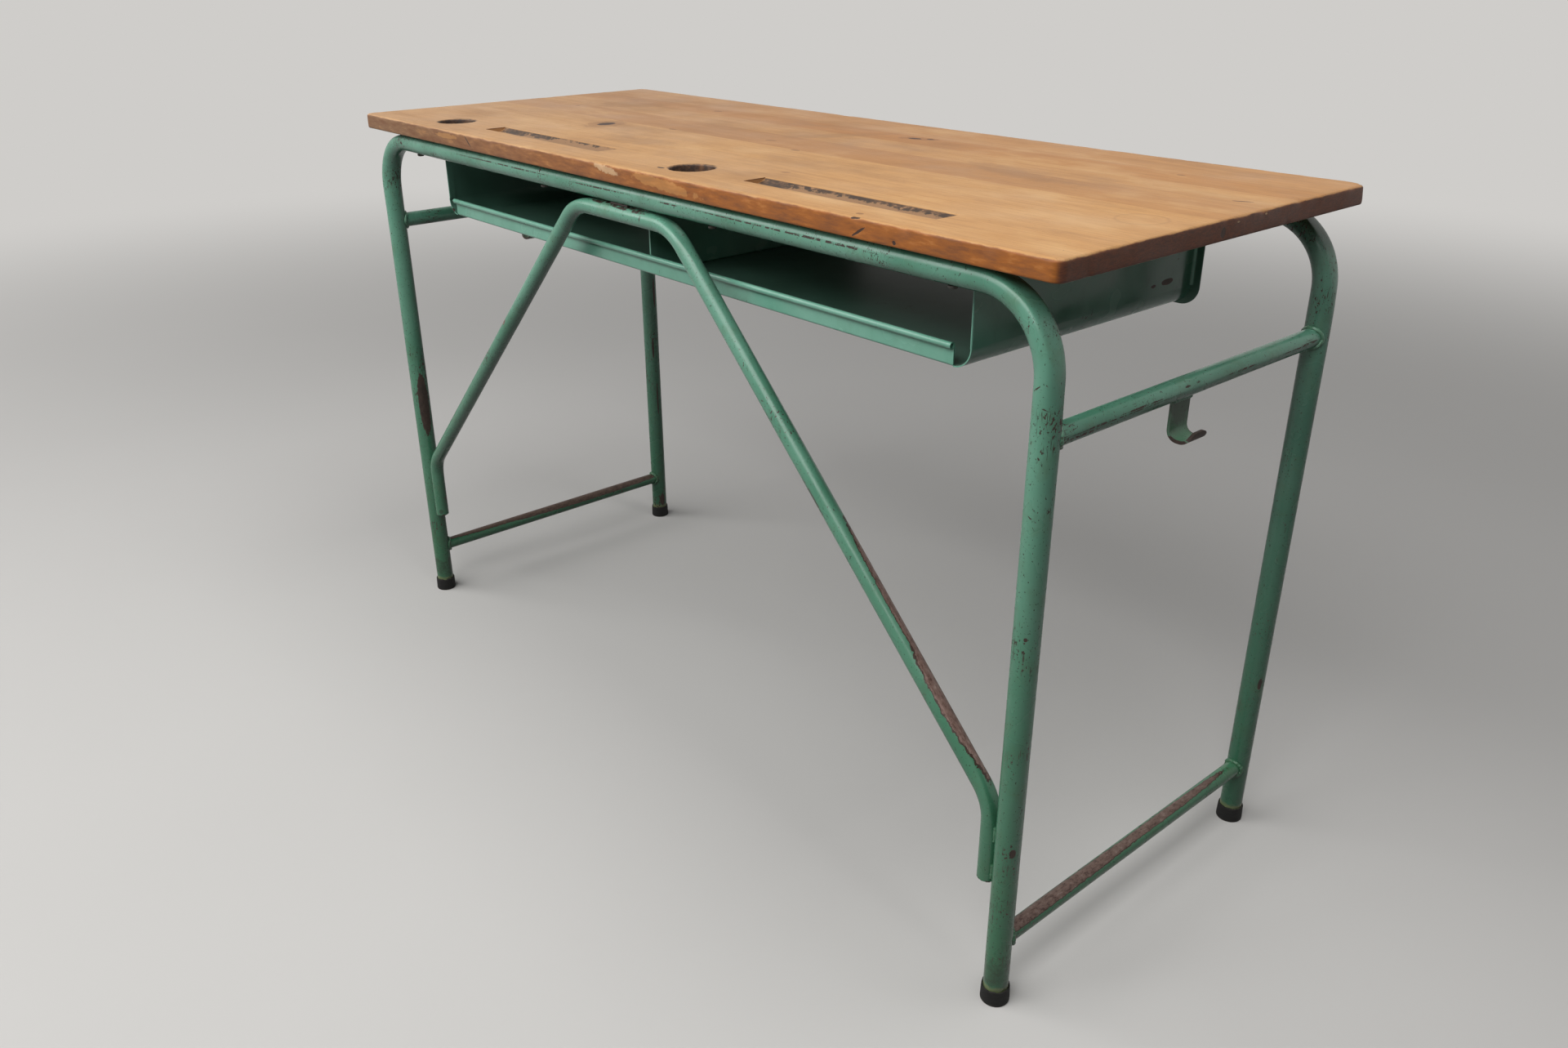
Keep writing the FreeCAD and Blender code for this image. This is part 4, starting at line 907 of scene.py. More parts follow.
# %% [markdown]
# ## The bent tubes
# A frame is one length of 25 mm steel tube with two bends. In the bending machine the outside of each
# bend goes flat and the tube spreads a little sideways, which gives the two thin highlights on the
# shoulders of the desk. A tree of geometry nodes follows the rule of the machine. It rounds the corners
# of a path, sweeps a ring along it, measures how sharply the path turns at each ring, and presses the
# ring flat on the outside by that much. A blur of the turning lets the flattening fade along the tube.
#
# Every tree here has named inputs, is run once on a path or on points, and leaves a plain mesh.

# %% Trees, paths and plain meshes
SOFT_BELOW = math.radians(40)


def new_tree(name, inputs):
    """A geometry tree with named inputs, its input and output nodes, ready for use."""
    tree = bpy.data.node_groups.new(name, "GeometryNodeTree")
    tree.interface.new_socket("Geometry", in_out="OUTPUT", socket_type="NodeSocketGeometry")
    tree.interface.new_socket("Geometry", in_out="INPUT", socket_type="NodeSocketGeometry")
    for label, (kind, value) in inputs.items():
        socket = tree.interface.new_socket(label, in_out="INPUT", socket_type="NodeSocket" + kind)
        if value is not None:
            socket.default_value = value
    return tree, tree.nodes.new("NodeGroupInput").outputs


def run_tree(piece, tree, values):
    """Runs the tree on the piece's mesh and keeps the result as a plain mesh."""
    modifier = piece.modifiers.new(tree.name, "NODES")
    modifier.node_group = tree
    for socket in tree.interface.items_tree:
        if socket.item_type == "SOCKET" and socket.in_out == "INPUT" and socket.name in values:
            modifier[socket.identifier] = values[socket.name]
    depsgraph = bpy.context.evaluated_depsgraph_get()
    mesh = bpy.data.meshes.new_from_object(piece.evaluated_get(depsgraph), depsgraph=depsgraph)
    piece.modifiers.remove(modifier)
    piece.data = mesh
    mesh.name = piece.name
    return piece


def new_path(name, runs):
    """A mesh of open or closed runs of points in millimetres. A point may carry a bend radius."""
    mesh = bpy.data.meshes.new(name)
    points, edges, bends = [], [], []
    for run, closed in runs:
        first = len(points)
        for point in run:
            points.append(metres(*point[:3]))
            bends.append(point[3] * MM if len(point) > 3 else 0.0)
        edges += [(i, i + 1) for i in range(first, len(points) - 1)]
        if closed:
            edges.append((len(points) - 1, first))
    mesh.from_pydata(points, edges, [])
    mesh.attributes.new("bend", "FLOAT", "POINT").data.foreach_set("value", bends)
    path = bpy.data.objects.new(name, mesh)
    bpy.context.scene.collection.objects.link(path)
    return path


def finish_tree(tree, shape, material, spent=()):
    """Smooth faces with crisp arrises, no spent attributes, instances made real, and the material."""
    for label in spent:
        shape = add(tree, "GeometryNodeRemoveAttribute", {"Geometry": shape, "Name": label})
    shape = add(tree, "GeometryNodeSetShadeSmooth", {"Geometry": shape, "Shade Smooth": True})
    angle = add(tree, "GeometryNodeInputMeshEdgeAngle")
    soft = add(tree, "FunctionNodeCompare", {0: angle, 1: SOFT_BELOW}, operation="LESS_THAN")
    edges = {"Geometry": shape, "Shade Smooth": soft}
    shape = add(tree, "GeometryNodeSetShadeSmooth", edges, domain="EDGE")
    shape = add(tree, "GeometryNodeRealizeInstances", {"Geometry": shape})
    shape = add(tree, "GeometryNodeSetMaterial", {"Geometry": shape, "Material": material})
    add(tree, "NodeGroupOutput", {"Geometry": shape})


print("trees end as plain meshes")

# %% [markdown]
# The first half of the tree turns a path into even rings and stores three things on each: how far the
# path turns there, where the ring's centre is and which way the tube runs. A curve's own tangent is
# compared between the ring before and the ring after.

# %% Tree: rings along a path
VECTORS = {"data_type": "FLOAT_VECTOR", "domain": "POINT"}
CORNER_POINTS = 24


def ring_path(tree, given):
    """The path with round corners and even rings that carry their turning, centre and direction."""
    curve = add(tree, "GeometryNodeMeshToCurve", {"Mesh": given["Geometry"]})
    bend = add(tree, "GeometryNodeInputNamedAttribute", {"Name": "bend"}, data_type="FLOAT")
    rounded = {"Curve": curve, "Radius": bend, "Count": CORNER_POINTS}
    curve = add(tree, "GeometryNodeFilletCurve", rounded, mode="POLY")
    even = {"Curve": curve, "Length": given["Ring spacing"]}
    curve = add(tree, "GeometryNodeResampleCurve", even, mode="LENGTH")

    index = add(tree, "GeometryNodeInputIndex")
    tangent = add(tree, "GeometryNodeInputTangent")
    after = add(tree, "ShaderNodeMath", {0: index, 1: 1.0}, operation="ADD")
    before = add(tree, "ShaderNodeMath", {0: index, 1: -1.0}, operation="ADD")
    after = add(tree, "GeometryNodeFieldAtIndex", {"Index": after, "Value": tangent}, **VECTORS)
    before = add(tree, "GeometryNodeFieldAtIndex", {"Index": before, "Value": tangent}, **VECTORS)
    turning = add(tree, "ShaderNodeVectorMath", {0: after, 1: before}, operation="SUBTRACT")
    # The two ends have no ring on one side, so they count as straight
    ends = add(tree, "GeometryNodeCurveEndpointSelection")
    straight = {"Switch": ends, "False": turning, "True": (0, 0, 0)}
    turning = add(tree, "GeometryNodeSwitch", straight, input_type="VECTOR")
    faded = {"Value": turning, "Iterations": given["Fade rings"], "Weight": 1.0}
    turning = add(tree, "GeometryNodeBlurAttribute", faded, data_type="FLOAT_VECTOR")

    centre = add(tree, "GeometryNodeInputPosition")
    for label, value in (("turning", turning), ("centre", centre), ("along", tangent)):
        stored = {"Geometry": curve, "Name": label, "Value": value}
        curve = add(tree, "GeometryNodeStoreNamedAttribute", stored, **VECTORS)
    return curve


print("rings carry their turning, centre and direction")

# %% [markdown]
# The second half moves the points of the swept tube. Outward is the direction away from the bend's
# centre. A point that lies further out than a limit is drawn back to it, softly, so that the flat has no
# crease, and points at the sides move a little outwards. The limit holds in full where the tube turns
# as sharply as the bend radius, and less where the turning fades.

# %% Tree: the flat outside of a bend
SOFTNESS = 6.0


def pressed(tree, given, radius):
    """How far each point of the tube moves in the bending machine."""
    turning, centre, along = (
        add(tree, "GeometryNodeInputNamedAttribute", {"Name": label}, data_type="FLOAT_VECTOR")
        for label in ("turning", "centre", "along")
    )
    here = add(tree, "GeometryNodeInputPosition")
    offset = add(tree, "ShaderNodeVectorMath", {0: here, 1: centre}, operation="SUBTRACT")
    sharpness = add(tree, "ShaderNodeVectorMath", {0: turning}, out="Value", operation="LENGTH")
    sharpest = {0: given["Ring spacing"], 1: given["Bend radius"]}
    sharpest = add(tree, "ShaderNodeMath", sharpest, operation="DIVIDE")
    sharpest = add(tree, "ShaderNodeMath", {0: sharpest, 1: 2.0}, operation="MULTIPLY")
    share = add(tree, "ShaderNodeMath", {0: sharpness, 1: sharpest}, operation="DIVIDE", use_clamp=True)
    outward = add(tree, "ShaderNodeVectorMath", {0: turning}, operation="NORMALIZE")
    outward = add(tree, "ShaderNodeVectorMath", {0: outward, "Scale": -1.0}, operation="SCALE")

    out = {0: offset, 1: outward}
    out = add(tree, "ShaderNodeVectorMath", out, out="Value", operation="DOT_PRODUCT")
    limit = add(tree, "ShaderNodeMath", {0: radius, 1: given["Flat outside"]}, operation="MULTIPLY")
    ratio = add(tree, "ShaderNodeMath", {0: out, 1: 0.0}, operation="MAXIMUM")
    ratio = add(tree, "ShaderNodeMath", {0: ratio, 1: limit}, operation="DIVIDE")
    ratio = add(tree, "ShaderNodeMath", {0: ratio, 1: SOFTNESS}, operation="POWER")
    ratio = add(tree, "ShaderNodeMath", {0: ratio, 1: 1.0}, operation="ADD")
    ratio = add(tree, "ShaderNodeMath", {0: ratio, 1: 1 / SOFTNESS}, operation="POWER")
    flat = add(tree, "ShaderNodeMath", {0: out, 1: ratio}, operation="DIVIDE")
    push = add(tree, "ShaderNodeMath", {0: flat, 1: out}, operation="SUBTRACT")
    push = add(tree, "ShaderNodeMath", {0: push, 1: share}, operation="MULTIPLY")
    push = add(tree, "ShaderNodeVectorMath", {0: outward, "Scale": push}, operation="SCALE")

    sideways = add(tree, "ShaderNodeVectorMath", {0: along, 1: outward}, operation="CROSS_PRODUCT")
    sideways = add(tree, "ShaderNodeVectorMath", {0: sideways}, operation="NORMALIZE")
    aside = {0: offset, 1: sideways}
    aside = add(tree, "ShaderNodeVectorMath", aside, out="Value", operation="DOT_PRODUCT")
    aside = add(tree, "ShaderNodeMath", {0: aside, 1: given["Side bulge"]}, operation="MULTIPLY")
    aside = add(tree, "ShaderNodeMath", {0: aside, 1: share}, operation="MULTIPLY")
    aside = add(tree, "ShaderNodeVectorMath", {0: sideways, "Scale": aside}, operation="SCALE")
    return add(tree, "ShaderNodeVectorMath", {0: push, 1: aside}, operation="ADD")


print("the flat is softened with a power of", SOFTNESS)

# %% Tree: bent tube
def bent_tube_tree():
    tree, given = new_tree(
        "bent tube",
        {
            "Diameter": ("Float", 0.025),
            "Ring spacing": ("Float", 0.005),
            "Bend radius": ("Float", 0.07),
            "Flat outside": ("Float", 0.67),
            "Side bulge": ("Float", 0.05),
            "Fade rings": ("Int", 12),
            "Material": ("Material", None),
        },
    )
    radius = add(tree, "ShaderNodeMath", {0: given["Diameter"], 1: 0.5}, operation="MULTIPLY")
    ring = add(tree, "GeometryNodeCurvePrimitiveCircle", {"Resolution": 40, "Radius": radius})
    swept = {"Curve": ring_path(tree, given), "Profile Curve": ring, "Fill Caps": True}
    tube = add(tree, "GeometryNodeCurveToMesh", swept)
    moved = {"Geometry": tube, "Offset": pressed(tree, given, radius)}
    tube = add(tree, "GeometryNodeSetPosition", moved)
    finish_tree(tree, tube, given["Material"], ("turning", "centre", "along", "bend"))
    return tree


BENT_TUBE = bent_tube_tree()
print("bent tube tree:", len(BENT_TUBE.nodes), "nodes")

# %% [markdown]
# The two frames follow the same path. The legs stand 15 mm inside the board's ends, the bends have a
# radius of 70 mm, and the rail runs close under the board. The marks on the front frame are the long
# broken scratch on the face of the rail, the rusty oval on the inside of the left leg, and a few chips
# and cracks on the right leg. The back frame is painted a little darker, which is painted shade.

# %% Front and back frames
LEG_X = 585.0
FRAME_Y = 216.3
RAIL_Z = 714.5
FOOT_Z = 5.2
TUBE = 25.0
FRAME_BEND = 70.0
SIDES = (-1, 1)

FRONT_Y = -FRAME_Y - TUBE / 2
front_scratches = [
    ((-237, FRONT_Y, 717.0), (0, 0, 0), (106, 5, 0.65)),
    ((-190, FRONT_Y, 716.8), (0, 0, 0), (42, 5, 0.8)),
    ((-25, FRONT_Y, 716.6), (0, -0.4, 0), (55, 5, 0.8)),
    ((103, FRONT_Y, 716.8), (0, 0, 0), (14, 5, 0.9)),
    ((278, FRONT_Y, 716.6), (0, 0.2, 0), (135, 5, 0.8)),
    ((340, FRONT_Y, 716.8), (0, 0, 0), (56, 5, 1.1)),
    ((LEG_X + 3, FRONT_Y + 2, 531), (0, 30, 0), (4, 9, 0.8)),
    ((LEG_X + 3, FRONT_Y + 2, 627), (0, 25, 0), (6, 8, 0.7)),
    ((LEG_X - 3, FRONT_Y + 1, 641), (0, -40, 0), (5, 8, 0.6)),
    ((LEG_X + 7, FRONT_Y + 4, 644), (0, 50, 0), (3, 8, 0.6)),
]
front_patches = [
    ((-LEG_X + 12.4, -FRAME_Y - 2.0, 320), (0, 0, 0), (6, 8.2, 47)),
    ((LEG_X + 10.7, -FRAME_Y - 6.4, 190), (0, 0, 0), (3, 3, 5.0)),
    ((LEG_X + 6.6, -FRAME_Y - 10.6, 419), (0, 0, 0), (1.7, 1.6, 1.9)),
]
back_patches = [
    ((LEG_X + 11.2, FRAME_Y - 5.5, 193), (0, 0, 0), (2.4, 2.4, 7)),
    ((-LEG_X + 12.3, FRAME_Y - 2.0, 34), (0, 0, 0), (4, 4.5, 11)),
    ((-LEG_X + 12.0, FRAME_Y + 2.0, 419), (0, 0, 0), (3, 2.2, 24)),
    ((-LEG_X + 11.4, FRAME_Y - 5.0, 322), (0, 0, 0), (3, 1.6, 18)),
    ((-LEG_X + 12.4, FRAME_Y - 1.3, 229), (0, 0, 0), (3, 1.3, 28)),
]
leg_dirt = [((side * LEG_X, -FRAME_Y, 40), (0, 0, 0), (14, 14, 24)) for side in SIDES]


def frame_path(y):
    left = [(-LEG_X, y, FOOT_Z), (-LEG_X, y, RAIL_Z, FRAME_BEND)]
    right = [(LEG_X, y, RAIL_Z, FRAME_BEND), (LEG_X, y, FOOT_Z)]
    return [(left + right, False)]


# The back frame's darker tones are painted shade.
shaded_back_tones = {"light": "#5d907a", "deep": "#497d68", "low": "#275a3e"}
frame_enamel = {
    "front_frame": enamel("mint_enamel_front_frame", front_patches, front_scratches, leg_dirt, chips=1.15),
    "back_frame": enamel("mint_enamel_back_frame", back_patches, chips=1.0, tone=shaded_back_tones),
}
for node, y in (("front_frame", -FRAME_Y), ("back_frame", FRAME_Y)):
    piece = new_path("bent_" + node, frame_path(y))
    run_tree(
        piece,
        BENT_TUBE,
        {
            "Diameter": TUBE * MM,
            "Ring spacing": 5.0 * MM,
            "Bend radius": FRAME_BEND * MM,
            "Flat outside": 0.68,
            "Side bulge": 0.05,
            "Fade rings": 14,
            "Material": frame_enamel[node],
        },
    )
    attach(piece, "root")
    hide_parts(node)
    print(piece.name, len(piece.data.polygons), "faces")

# %% [markdown]
# The brace is a thinner tube, 19 mm, bent like a flat-topped roof. It touches the front rail under its
# short top run and the legs with its feet. Knees and shoes have rubbed the right slope down to the metal,
# in a long patch that hugs its upper edge and ends before the knee bend, and blackened the top run.

# %% Brace
BRACE = 19.0
BRACE_LEG_X = LEG_X - TUBE / 2 - BRACE / 2 - 0.2
BRACE_TOP_Z = RAIL_Z - TUBE / 2 - BRACE / 2 - 1.8
KNEE_Z = 228.0
END_Z = 140.0
TOP_HALF = 91.5
KNEE_BEND, TOP_BEND, FLAT_AT_BEND = 50.0, 60.0, 58.0
SLOPE = math.degrees(math.atan2(BRACE_TOP_Z - KNEE_Z, BRACE_LEG_X - TOP_HALF))

brace_path = [
    (-BRACE_LEG_X, -FRAME_Y, END_Z),
    (-BRACE_LEG_X, -FRAME_Y, KNEE_Z, KNEE_BEND),
    (-TOP_HALF, -FRAME_Y, BRACE_TOP_Z, TOP_BEND),
    (TOP_HALF, -FRAME_Y, BRACE_TOP_Z, TOP_BEND),
    (BRACE_LEG_X, -FRAME_Y, KNEE_Z, KNEE_BEND),
    (BRACE_LEG_X, -FRAME_Y, END_Z),
]


def on_slope(share, outward, forward=0.0, side=1):
    """A point by a slope: a share of its length down, then outward and forward of its middle."""
    along = math.radians(SLOPE)
    x = TOP_HALF + share * (BRACE_LEG_X - TOP_HALF) + outward * math.sin(along)
    z = BRACE_TOP_Z - share * (BRACE_TOP_Z - KNEE_Z) + outward * math.cos(along)
    return (side * x, -FRAME_Y - forward, z)


brace_patches = [
    (on_slope(0.849, 8.0, -4.5), (0, SLOPE, 0), (80, 11, 6.5)),
    (on_slope(0.70, 8.2, -4.0), (0, SLOPE, 0), (104, 6.5, 4.0)),
    (on_slope(0.39, 4.0, 8.4, side=-1), (0, -SLOPE, 0), (5, 3, 2.6)),
]
brace_scratches = [
    ((-3, -FRAME_Y - 3, BRACE_TOP_Z + 8.8), (0, 0, 0), (54, 6, 2.0)),
    ((22, -FRAME_Y - 5, BRACE_TOP_Z + 7.6), (0, 0, 0), (30, 3.0, 1.8)),
    ((45, -FRAME_Y - 9, BRACE_TOP_Z + 2), (0, 5, 0), (0.9, 5, 3.6)),
    (on_slope(0.49, -3, 9), (0, SLOPE, 0), (28, 5, 1.4)),
    (on_slope(0.85, -6, 7.5), (0, SLOPE, 0), (84, 4, 1.1)),
]
foot_mark = [((-BRACE_LEG_X + 7.6, -FRAME_Y - 5.7, END_Z + 6.5), (0, 0, 0), (3.6, 3.6, 3.6))]
brace_enamel = enamel(
    "mint_enamel_brace", brace_patches, brace_scratches, foot_mark, metal=BURNISHED,
    along=((7, 3.4, 3.4), (0, SLOPE, 0)), chips=0.9,
)
piece = new_path("bent_brace", [(brace_path, False)])
run_tree(
    piece,
    BENT_TUBE,
    {
        "Diameter": BRACE * MM,
        "Ring spacing": 4.0 * MM,
        "Bend radius": FLAT_AT_BEND * MM,
        "Flat outside": 0.74,
        "Side bulge": 0.04,
        "Fade rings": 10,
        "Material": brace_enamel,
    },
)
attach(piece, "root")
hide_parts("front_brace")
print("slope of the brace:", round(SLOPE, 1), "degrees;", len(piece.data.polygons), "faces")

# %% [markdown]
# ## Side rails
# The rails between front and back legs are plain tube, coped and welded, so the solids can stay as they
# are. The lower rails served as foot rests. The right one is burnished on its outer side, from the front
# leg on, down to a point near the back leg. The left one is browner and worn on the side of the feet.
# The upper right rail has a broken scratch along its outer face.

# %% Rails
UPPER_Z = 597.0
LOWER_Z = 75.0
upper_scratches = [
    ((LEG_X + 10, -158, UPPER_Z + 0.2), (0, 0, 0), (5, 12, 1.0)),
    ((LEG_X + 10, -120, UPPER_Z - 0.3), (0, 0, 0), (5, 90, 0.55)),
    ((LEG_X + 10, 165, UPPER_Z - 0.2), (0, 0, 0), (5, 32, 0.6)),
    ((LEG_X + 9, -28, UPPER_Z + 4.0), (0, 0, 0), (5, 4, 0.9)),
    ((LEG_X + 9, -12, UPPER_Z + 4.5), (0, 0, 0), (5, 3, 0.9)),
    ((LEG_X + 9.5, -176, UPPER_Z - 3), (0, 0, 0), (5, 20, 1.4)),
    ((LEG_X + 9.5, -95, UPPER_Z + 1.5), (0, 0, 0), (5, 30, 0.9)),
    ((LEG_X + 9.8, 60, UPPER_Z + 0.5), (0, 0, 0), (5, 26, 0.9)),
    ((LEG_X + 9.5, 186, UPPER_Z + 1), (0, 0, 0), (5, 14, 1.1)),
]
right_wear = [
    ((LEG_X + 2.0, -150, LOWER_Z + 10.0), (0, 0, 0), (7.6, 205, 7.0)),
    ((LEG_X + 2.0, 40, LOWER_Z + 10.4), (0, 0, 0), (6.4, 145, 4.8)),
]
left_wear = [
    ((-LEG_X + 4.0, 65, LOWER_Z + 7.5), (0, 0, 0), (8.5, 160, 6.2)),
    ((-LEG_X + 2.0, -95, LOWER_Z + 9.2), (0, 0, 0), (7.0, 112, 4.6)),
]
LEFT_METAL = {"dark": "#33241d", "brown": "#4e3c32", "worn": "#6c584c", "rough": 0.55, "shine": 0.15}
RIGHT_METAL = {"dark": "#3f2a24", "brown": "#6b564e", "worn": "#8f7e76", "rough": 0.45, "shine": 0.3}
lengthwise = ((3.4, 7, 3.4), (0, 0, 0))
KNOCKS_Y = (0.9, 14, 0.9)
rail_enamel = {
    "upper_rail_left": enamel("mint_enamel_upper_left_rail", knocks=KNOCKS_Y, chips=0.8),
    "upper_rail_right": enamel(
        "mint_enamel_upper_right_rail", scratches=upper_scratches, knocks=KNOCKS_Y, chips=1.3
    ),
    "lower_rail_left": enamel(
        "worn_enamel_lower_left_rail", left_wear, metal=LEFT_METAL, along=lengthwise, knocks=KNOCKS_Y
    ),
    "lower_rail_right": enamel(
        "worn_enamel_lower_right_rail", right_wear, metal=RIGHT_METAL, along=lengthwise, knocks=KNOCKS_Y,
        chips=1.0,
    ),
}
for node, paint in rail_enamel.items():
    finish_solids(paint, node)
print("rails painted:", ", ".join(sorted(rail_enamel)))

# %% [markdown]
# ## Folded tray
# The tray is 1.2 mm sheet, folded with soft corners, and sprayed with the same enamel. The solid has
# these folds, so it stays and gets the paint. It took hardly a knock up there. Inside it is dull with
# dust and dark with painted shade, and outside there are rust spots on the right side and at the lip's
# left corner.

# %% Tray and divider
tray_patches = [
    ((476.5, 108, 650), (0, 0, 0), (4, 10, 3.0)),
    ((476.5, 84, 649), (0, 0, 0), (4, 4, 1.6)),
    ((-472, -184, 623), (0, 0, 0), (6, 5, 3.4)),
]
tray_tones = {"light": "#7ab39e", "deep": "#66a38c"}
TRAY_HOLLOW = (0, -15, 690)
# The tray's inside is darkened with painted shade.
tray_enamel = enamel(
    "mint_enamel_tray", tray_patches, chips=-0.6, gloss=0.2, smeared=0.15, tone=tray_tones, hollow=TRAY_HOLLOW
)
finish_solids(tray_enamel, "book_tray", "tray_divider")
print("tray and divider painted with", tray_enamel.name)

# %% [markdown]
# ## Weld beads
# A weld bead is a row of small overlapping puddles. Painted over, it reads as a soft, slightly lumpy
# collar. Around a rail's end the bead follows the saddle where the rail meets the round leg, so its path
# is worked out from the two radii. The tree sweeps a circle along each path, lets its radius ripple at
# the welder's pace, and roughens it with a noise.

# %% Tree: weld bead
BEAD_STEP = 1.1
LUMPS_PER_METRE = 260.0


def weld_bead_tree():
    tree, given = new_tree(
        "weld bead",
        {
            "Bead radius": ("Float", 0.0024),
            "Ripple spacing": ("Float", 0.0034),
            "Ripple share": ("Float", 0.10),
            "Lump height": ("Float", 0.0006),
            "Seed": ("Float", 3.0),
            "Material": ("Material", None),
        },
    )
    curve = add(tree, "GeometryNodeMeshToCurve", {"Mesh": given["Geometry"]})
    even = {"Curve": curve, "Length": BEAD_STEP * MM}
    curve = add(tree, "GeometryNodeResampleCurve", even, mode="LENGTH")
    length = add(tree, "GeometryNodeSplineParameter", out="Length")
    phase = add(tree, "ShaderNodeMath", {0: length, 1: given["Ripple spacing"]}, operation="DIVIDE")
    phase = add(tree, "ShaderNodeMath", {0: phase, 1: math.tau}, operation="MULTIPLY")
    ripple = add(tree, "ShaderNodeMath", {0: phase}, operation="SINE")
    ripple = {0: ripple, 1: given["Ripple share"], 2: 1.0}
    ripple = add(tree, "ShaderNodeMath", ripple, operation="MULTIPLY_ADD")
    radius = add(tree, "ShaderNodeMath", {0: ripple, 1: given["Bead radius"]}, operation="MULTIPLY")
    curve = add(tree, "GeometryNodeSetCurveRadius", {"Curve": curve, "Radius": radius})
    ring = add(tree, "GeometryNodeCurvePrimitiveCircle", {"Resolution": 14, "Radius": 1.0})
    thick = add(tree, "GeometryNodeInputRadius")
    swept = {"Curve": curve, "Profile Curve": ring, "Scale": thick, "Fill Caps": True}
    bead = add(tree, "GeometryNodeCurveToMesh", swept)
    noisy = {"Scale": LUMPS_PER_METRE, "Detail": 2.0, "W": given["Seed"]}
    noisy = add(tree, "ShaderNodeTexNoise", noisy, noise_dimensions="4D")
    # A noise stays near its middle, so its offset from there is made four times larger
    lump = add(tree, "ShaderNodeMath", {0: noisy, 1: 0.5}, operation="SUBTRACT")
    lump = add(tree, "ShaderNodeMath", {0: lump, 1: given["Lump height"]}, operation="MULTIPLY")
    lump = add(tree, "ShaderNodeMath", {0: lump, 1: 4.0}, operation="MULTIPLY")
    outward = add(tree, "GeometryNodeInputNormal")
    push = add(tree, "ShaderNodeVectorMath", {0: outward, "Scale": lump}, operation="SCALE")
    bead = add(tree, "GeometryNodeSetPosition", {"Geometry": bead, "Offset": push})
    finish_tree(tree, bead, given["Material"])
    return tree


WELD_BEAD = weld_bead_tree()
print("weld bead tree:", len(WELD_BEAD.nodes), "nodes")

# %% [markdown]
# The upper rails are 20 mm tube and the lower ones 18 mm. Each has a closed bead at both ends. The brace
# has short beads in the creases along its feet, a rounded rim where each foot was closed, and two beads
# deep under the front rail. Each hook has one on each side of its strip.

# %% Paths of the beads
UPPER_RAIL, LOWER_RAIL = 20.0, 18.0
OFF_RAIL, OFF_LEG = 0.5, 0.9
RIM_INSET, RIM_LIFT = 1.7, 0.6
CREASE_X = LEG_X - TUBE / 2 - 0.6
CREASE_Z = RAIL_Z - TUBE / 2 - 0.9
FOOT_CREASE = {"starts": (5.0, 49.0), "length": 16.0, "beside": 4.4}
RAIL_CREASE = {"half": 16.0, "beside": 2.6}
HOOK_CREASE = {"y": {-1: (-4.0, 22.0), 1: (-35.0, -9.0)}, "under": 10.6, "beside": 2.4}


def saddle(side, front, height, rail):
    """The line where a rail meets a leg, a little outside the rail."""
    run = []
    points = 36
    radius = rail / 2 + OFF_RAIL
    for i in range(points):
        angle = math.tau * i / points
        across = radius * math.cos(angle)
        reach = math.sqrt((TUBE / 2) ** 2 - across**2) + OFF_LEG
        run.append((side * LEG_X + across, -front * (FRAME_Y - reach), height + radius * math.sin(angle)))
    return run, True


def foot_rim(side):
    """The rounded rim of a foot of the brace."""
    run = []
    points = 30
    radius = BRACE / 2 - RIM_INSET
    for i in range(points):
        angle = math.tau * i / points
        x, y = side * BRACE_LEG_X + radius * math.cos(angle), -FRAME_Y + radius * math.sin(angle)
        run.append((x, y, END_Z + RIM_LIFT))
    return run, True


WELDS = {
    "upper_rail_welds": [saddle(side, front, UPPER_Z, UPPER_RAIL) for side in SIDES for front in SIDES],
    "lower_rail_welds": [saddle(side, front, LOWER_Z, LOWER_RAIL) for side in SIDES for front in SIDES],
    "brace_welds": [foot_rim(side) for side in SIDES],
    "hook_welds": [],
}
for side in SIDES:
    for way in SIDES:
        x, y = side * CREASE_X, -FRAME_Y + way * FOOT_CREASE["beside"]
        for low in FOOT_CREASE["starts"]:
            low += END_Z
            WELDS["brace_welds"].append(([(x, y, low), (x, y, low + FOOT_CREASE["length"])], False))
    for way in SIDES:
        x, z = side * LEG_X + way * HOOK_CREASE["beside"], UPPER_Z - HOOK_CREASE["under"]
        WELDS["hook_welds"].append(([(x, y, z) for y in HOOK_CREASE["y"][side]], False))
for way in SIDES:
    y, half = -FRAME_Y + way * RAIL_CREASE["beside"], RAIL_CREASE["half"]
    WELDS["brace_welds"].append(([(-half, y, CREASE_Z), (half, y, CREASE_Z)], False))
print("runs of weld:", {node: len(runs) for node, runs in WELDS.items()})

# %% Weld beads
BEAD_RADIUS = {"upper_rail_welds": 2.2, "lower_rail_welds": 2.5, "brace_welds": 1.7, "hook_welds": 1.5}
RIPPLES = {"upper_rail_welds": 0.05, "lower_rail_welds": 0.12, "brace_welds": 0.12, "hook_welds": 0.10}
rusty_beads = [((0, -FRAME_Y, CREASE_Z), (0, 0, 0), (22, 9, 4))]
rusty_beads += [((side * BRACE_LEG_X, -FRAME_Y, END_Z), (0, 0, 0), (12, 12, 2.6)) for side in SIDES]
bead_tones = {"light": "#6a9c7f", "low": "#2c5c3c", "olive": "#3c4429"}
weld_enamel = enamel("mint_enamel_welds", rusty_beads, chips=1.0, gloss=0.26, smeared=0.6, tone=bead_tones)
for seed, (node, runs) in enumerate(WELDS.items()):
    piece = new_path("beads_" + node, runs)
    values = {"Bead radius": BEAD_RADIUS[node] * MM, "Ripple share": RIPPLES[node], "Seed": float(seed)}
    run_tree(piece, WELD_BEAD, {**values, "Material": weld_enamel})
    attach(piece, "root")
    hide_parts(node)
    print(piece.name, len(runs), "runs,", len(piece.data.polygons), "faces")

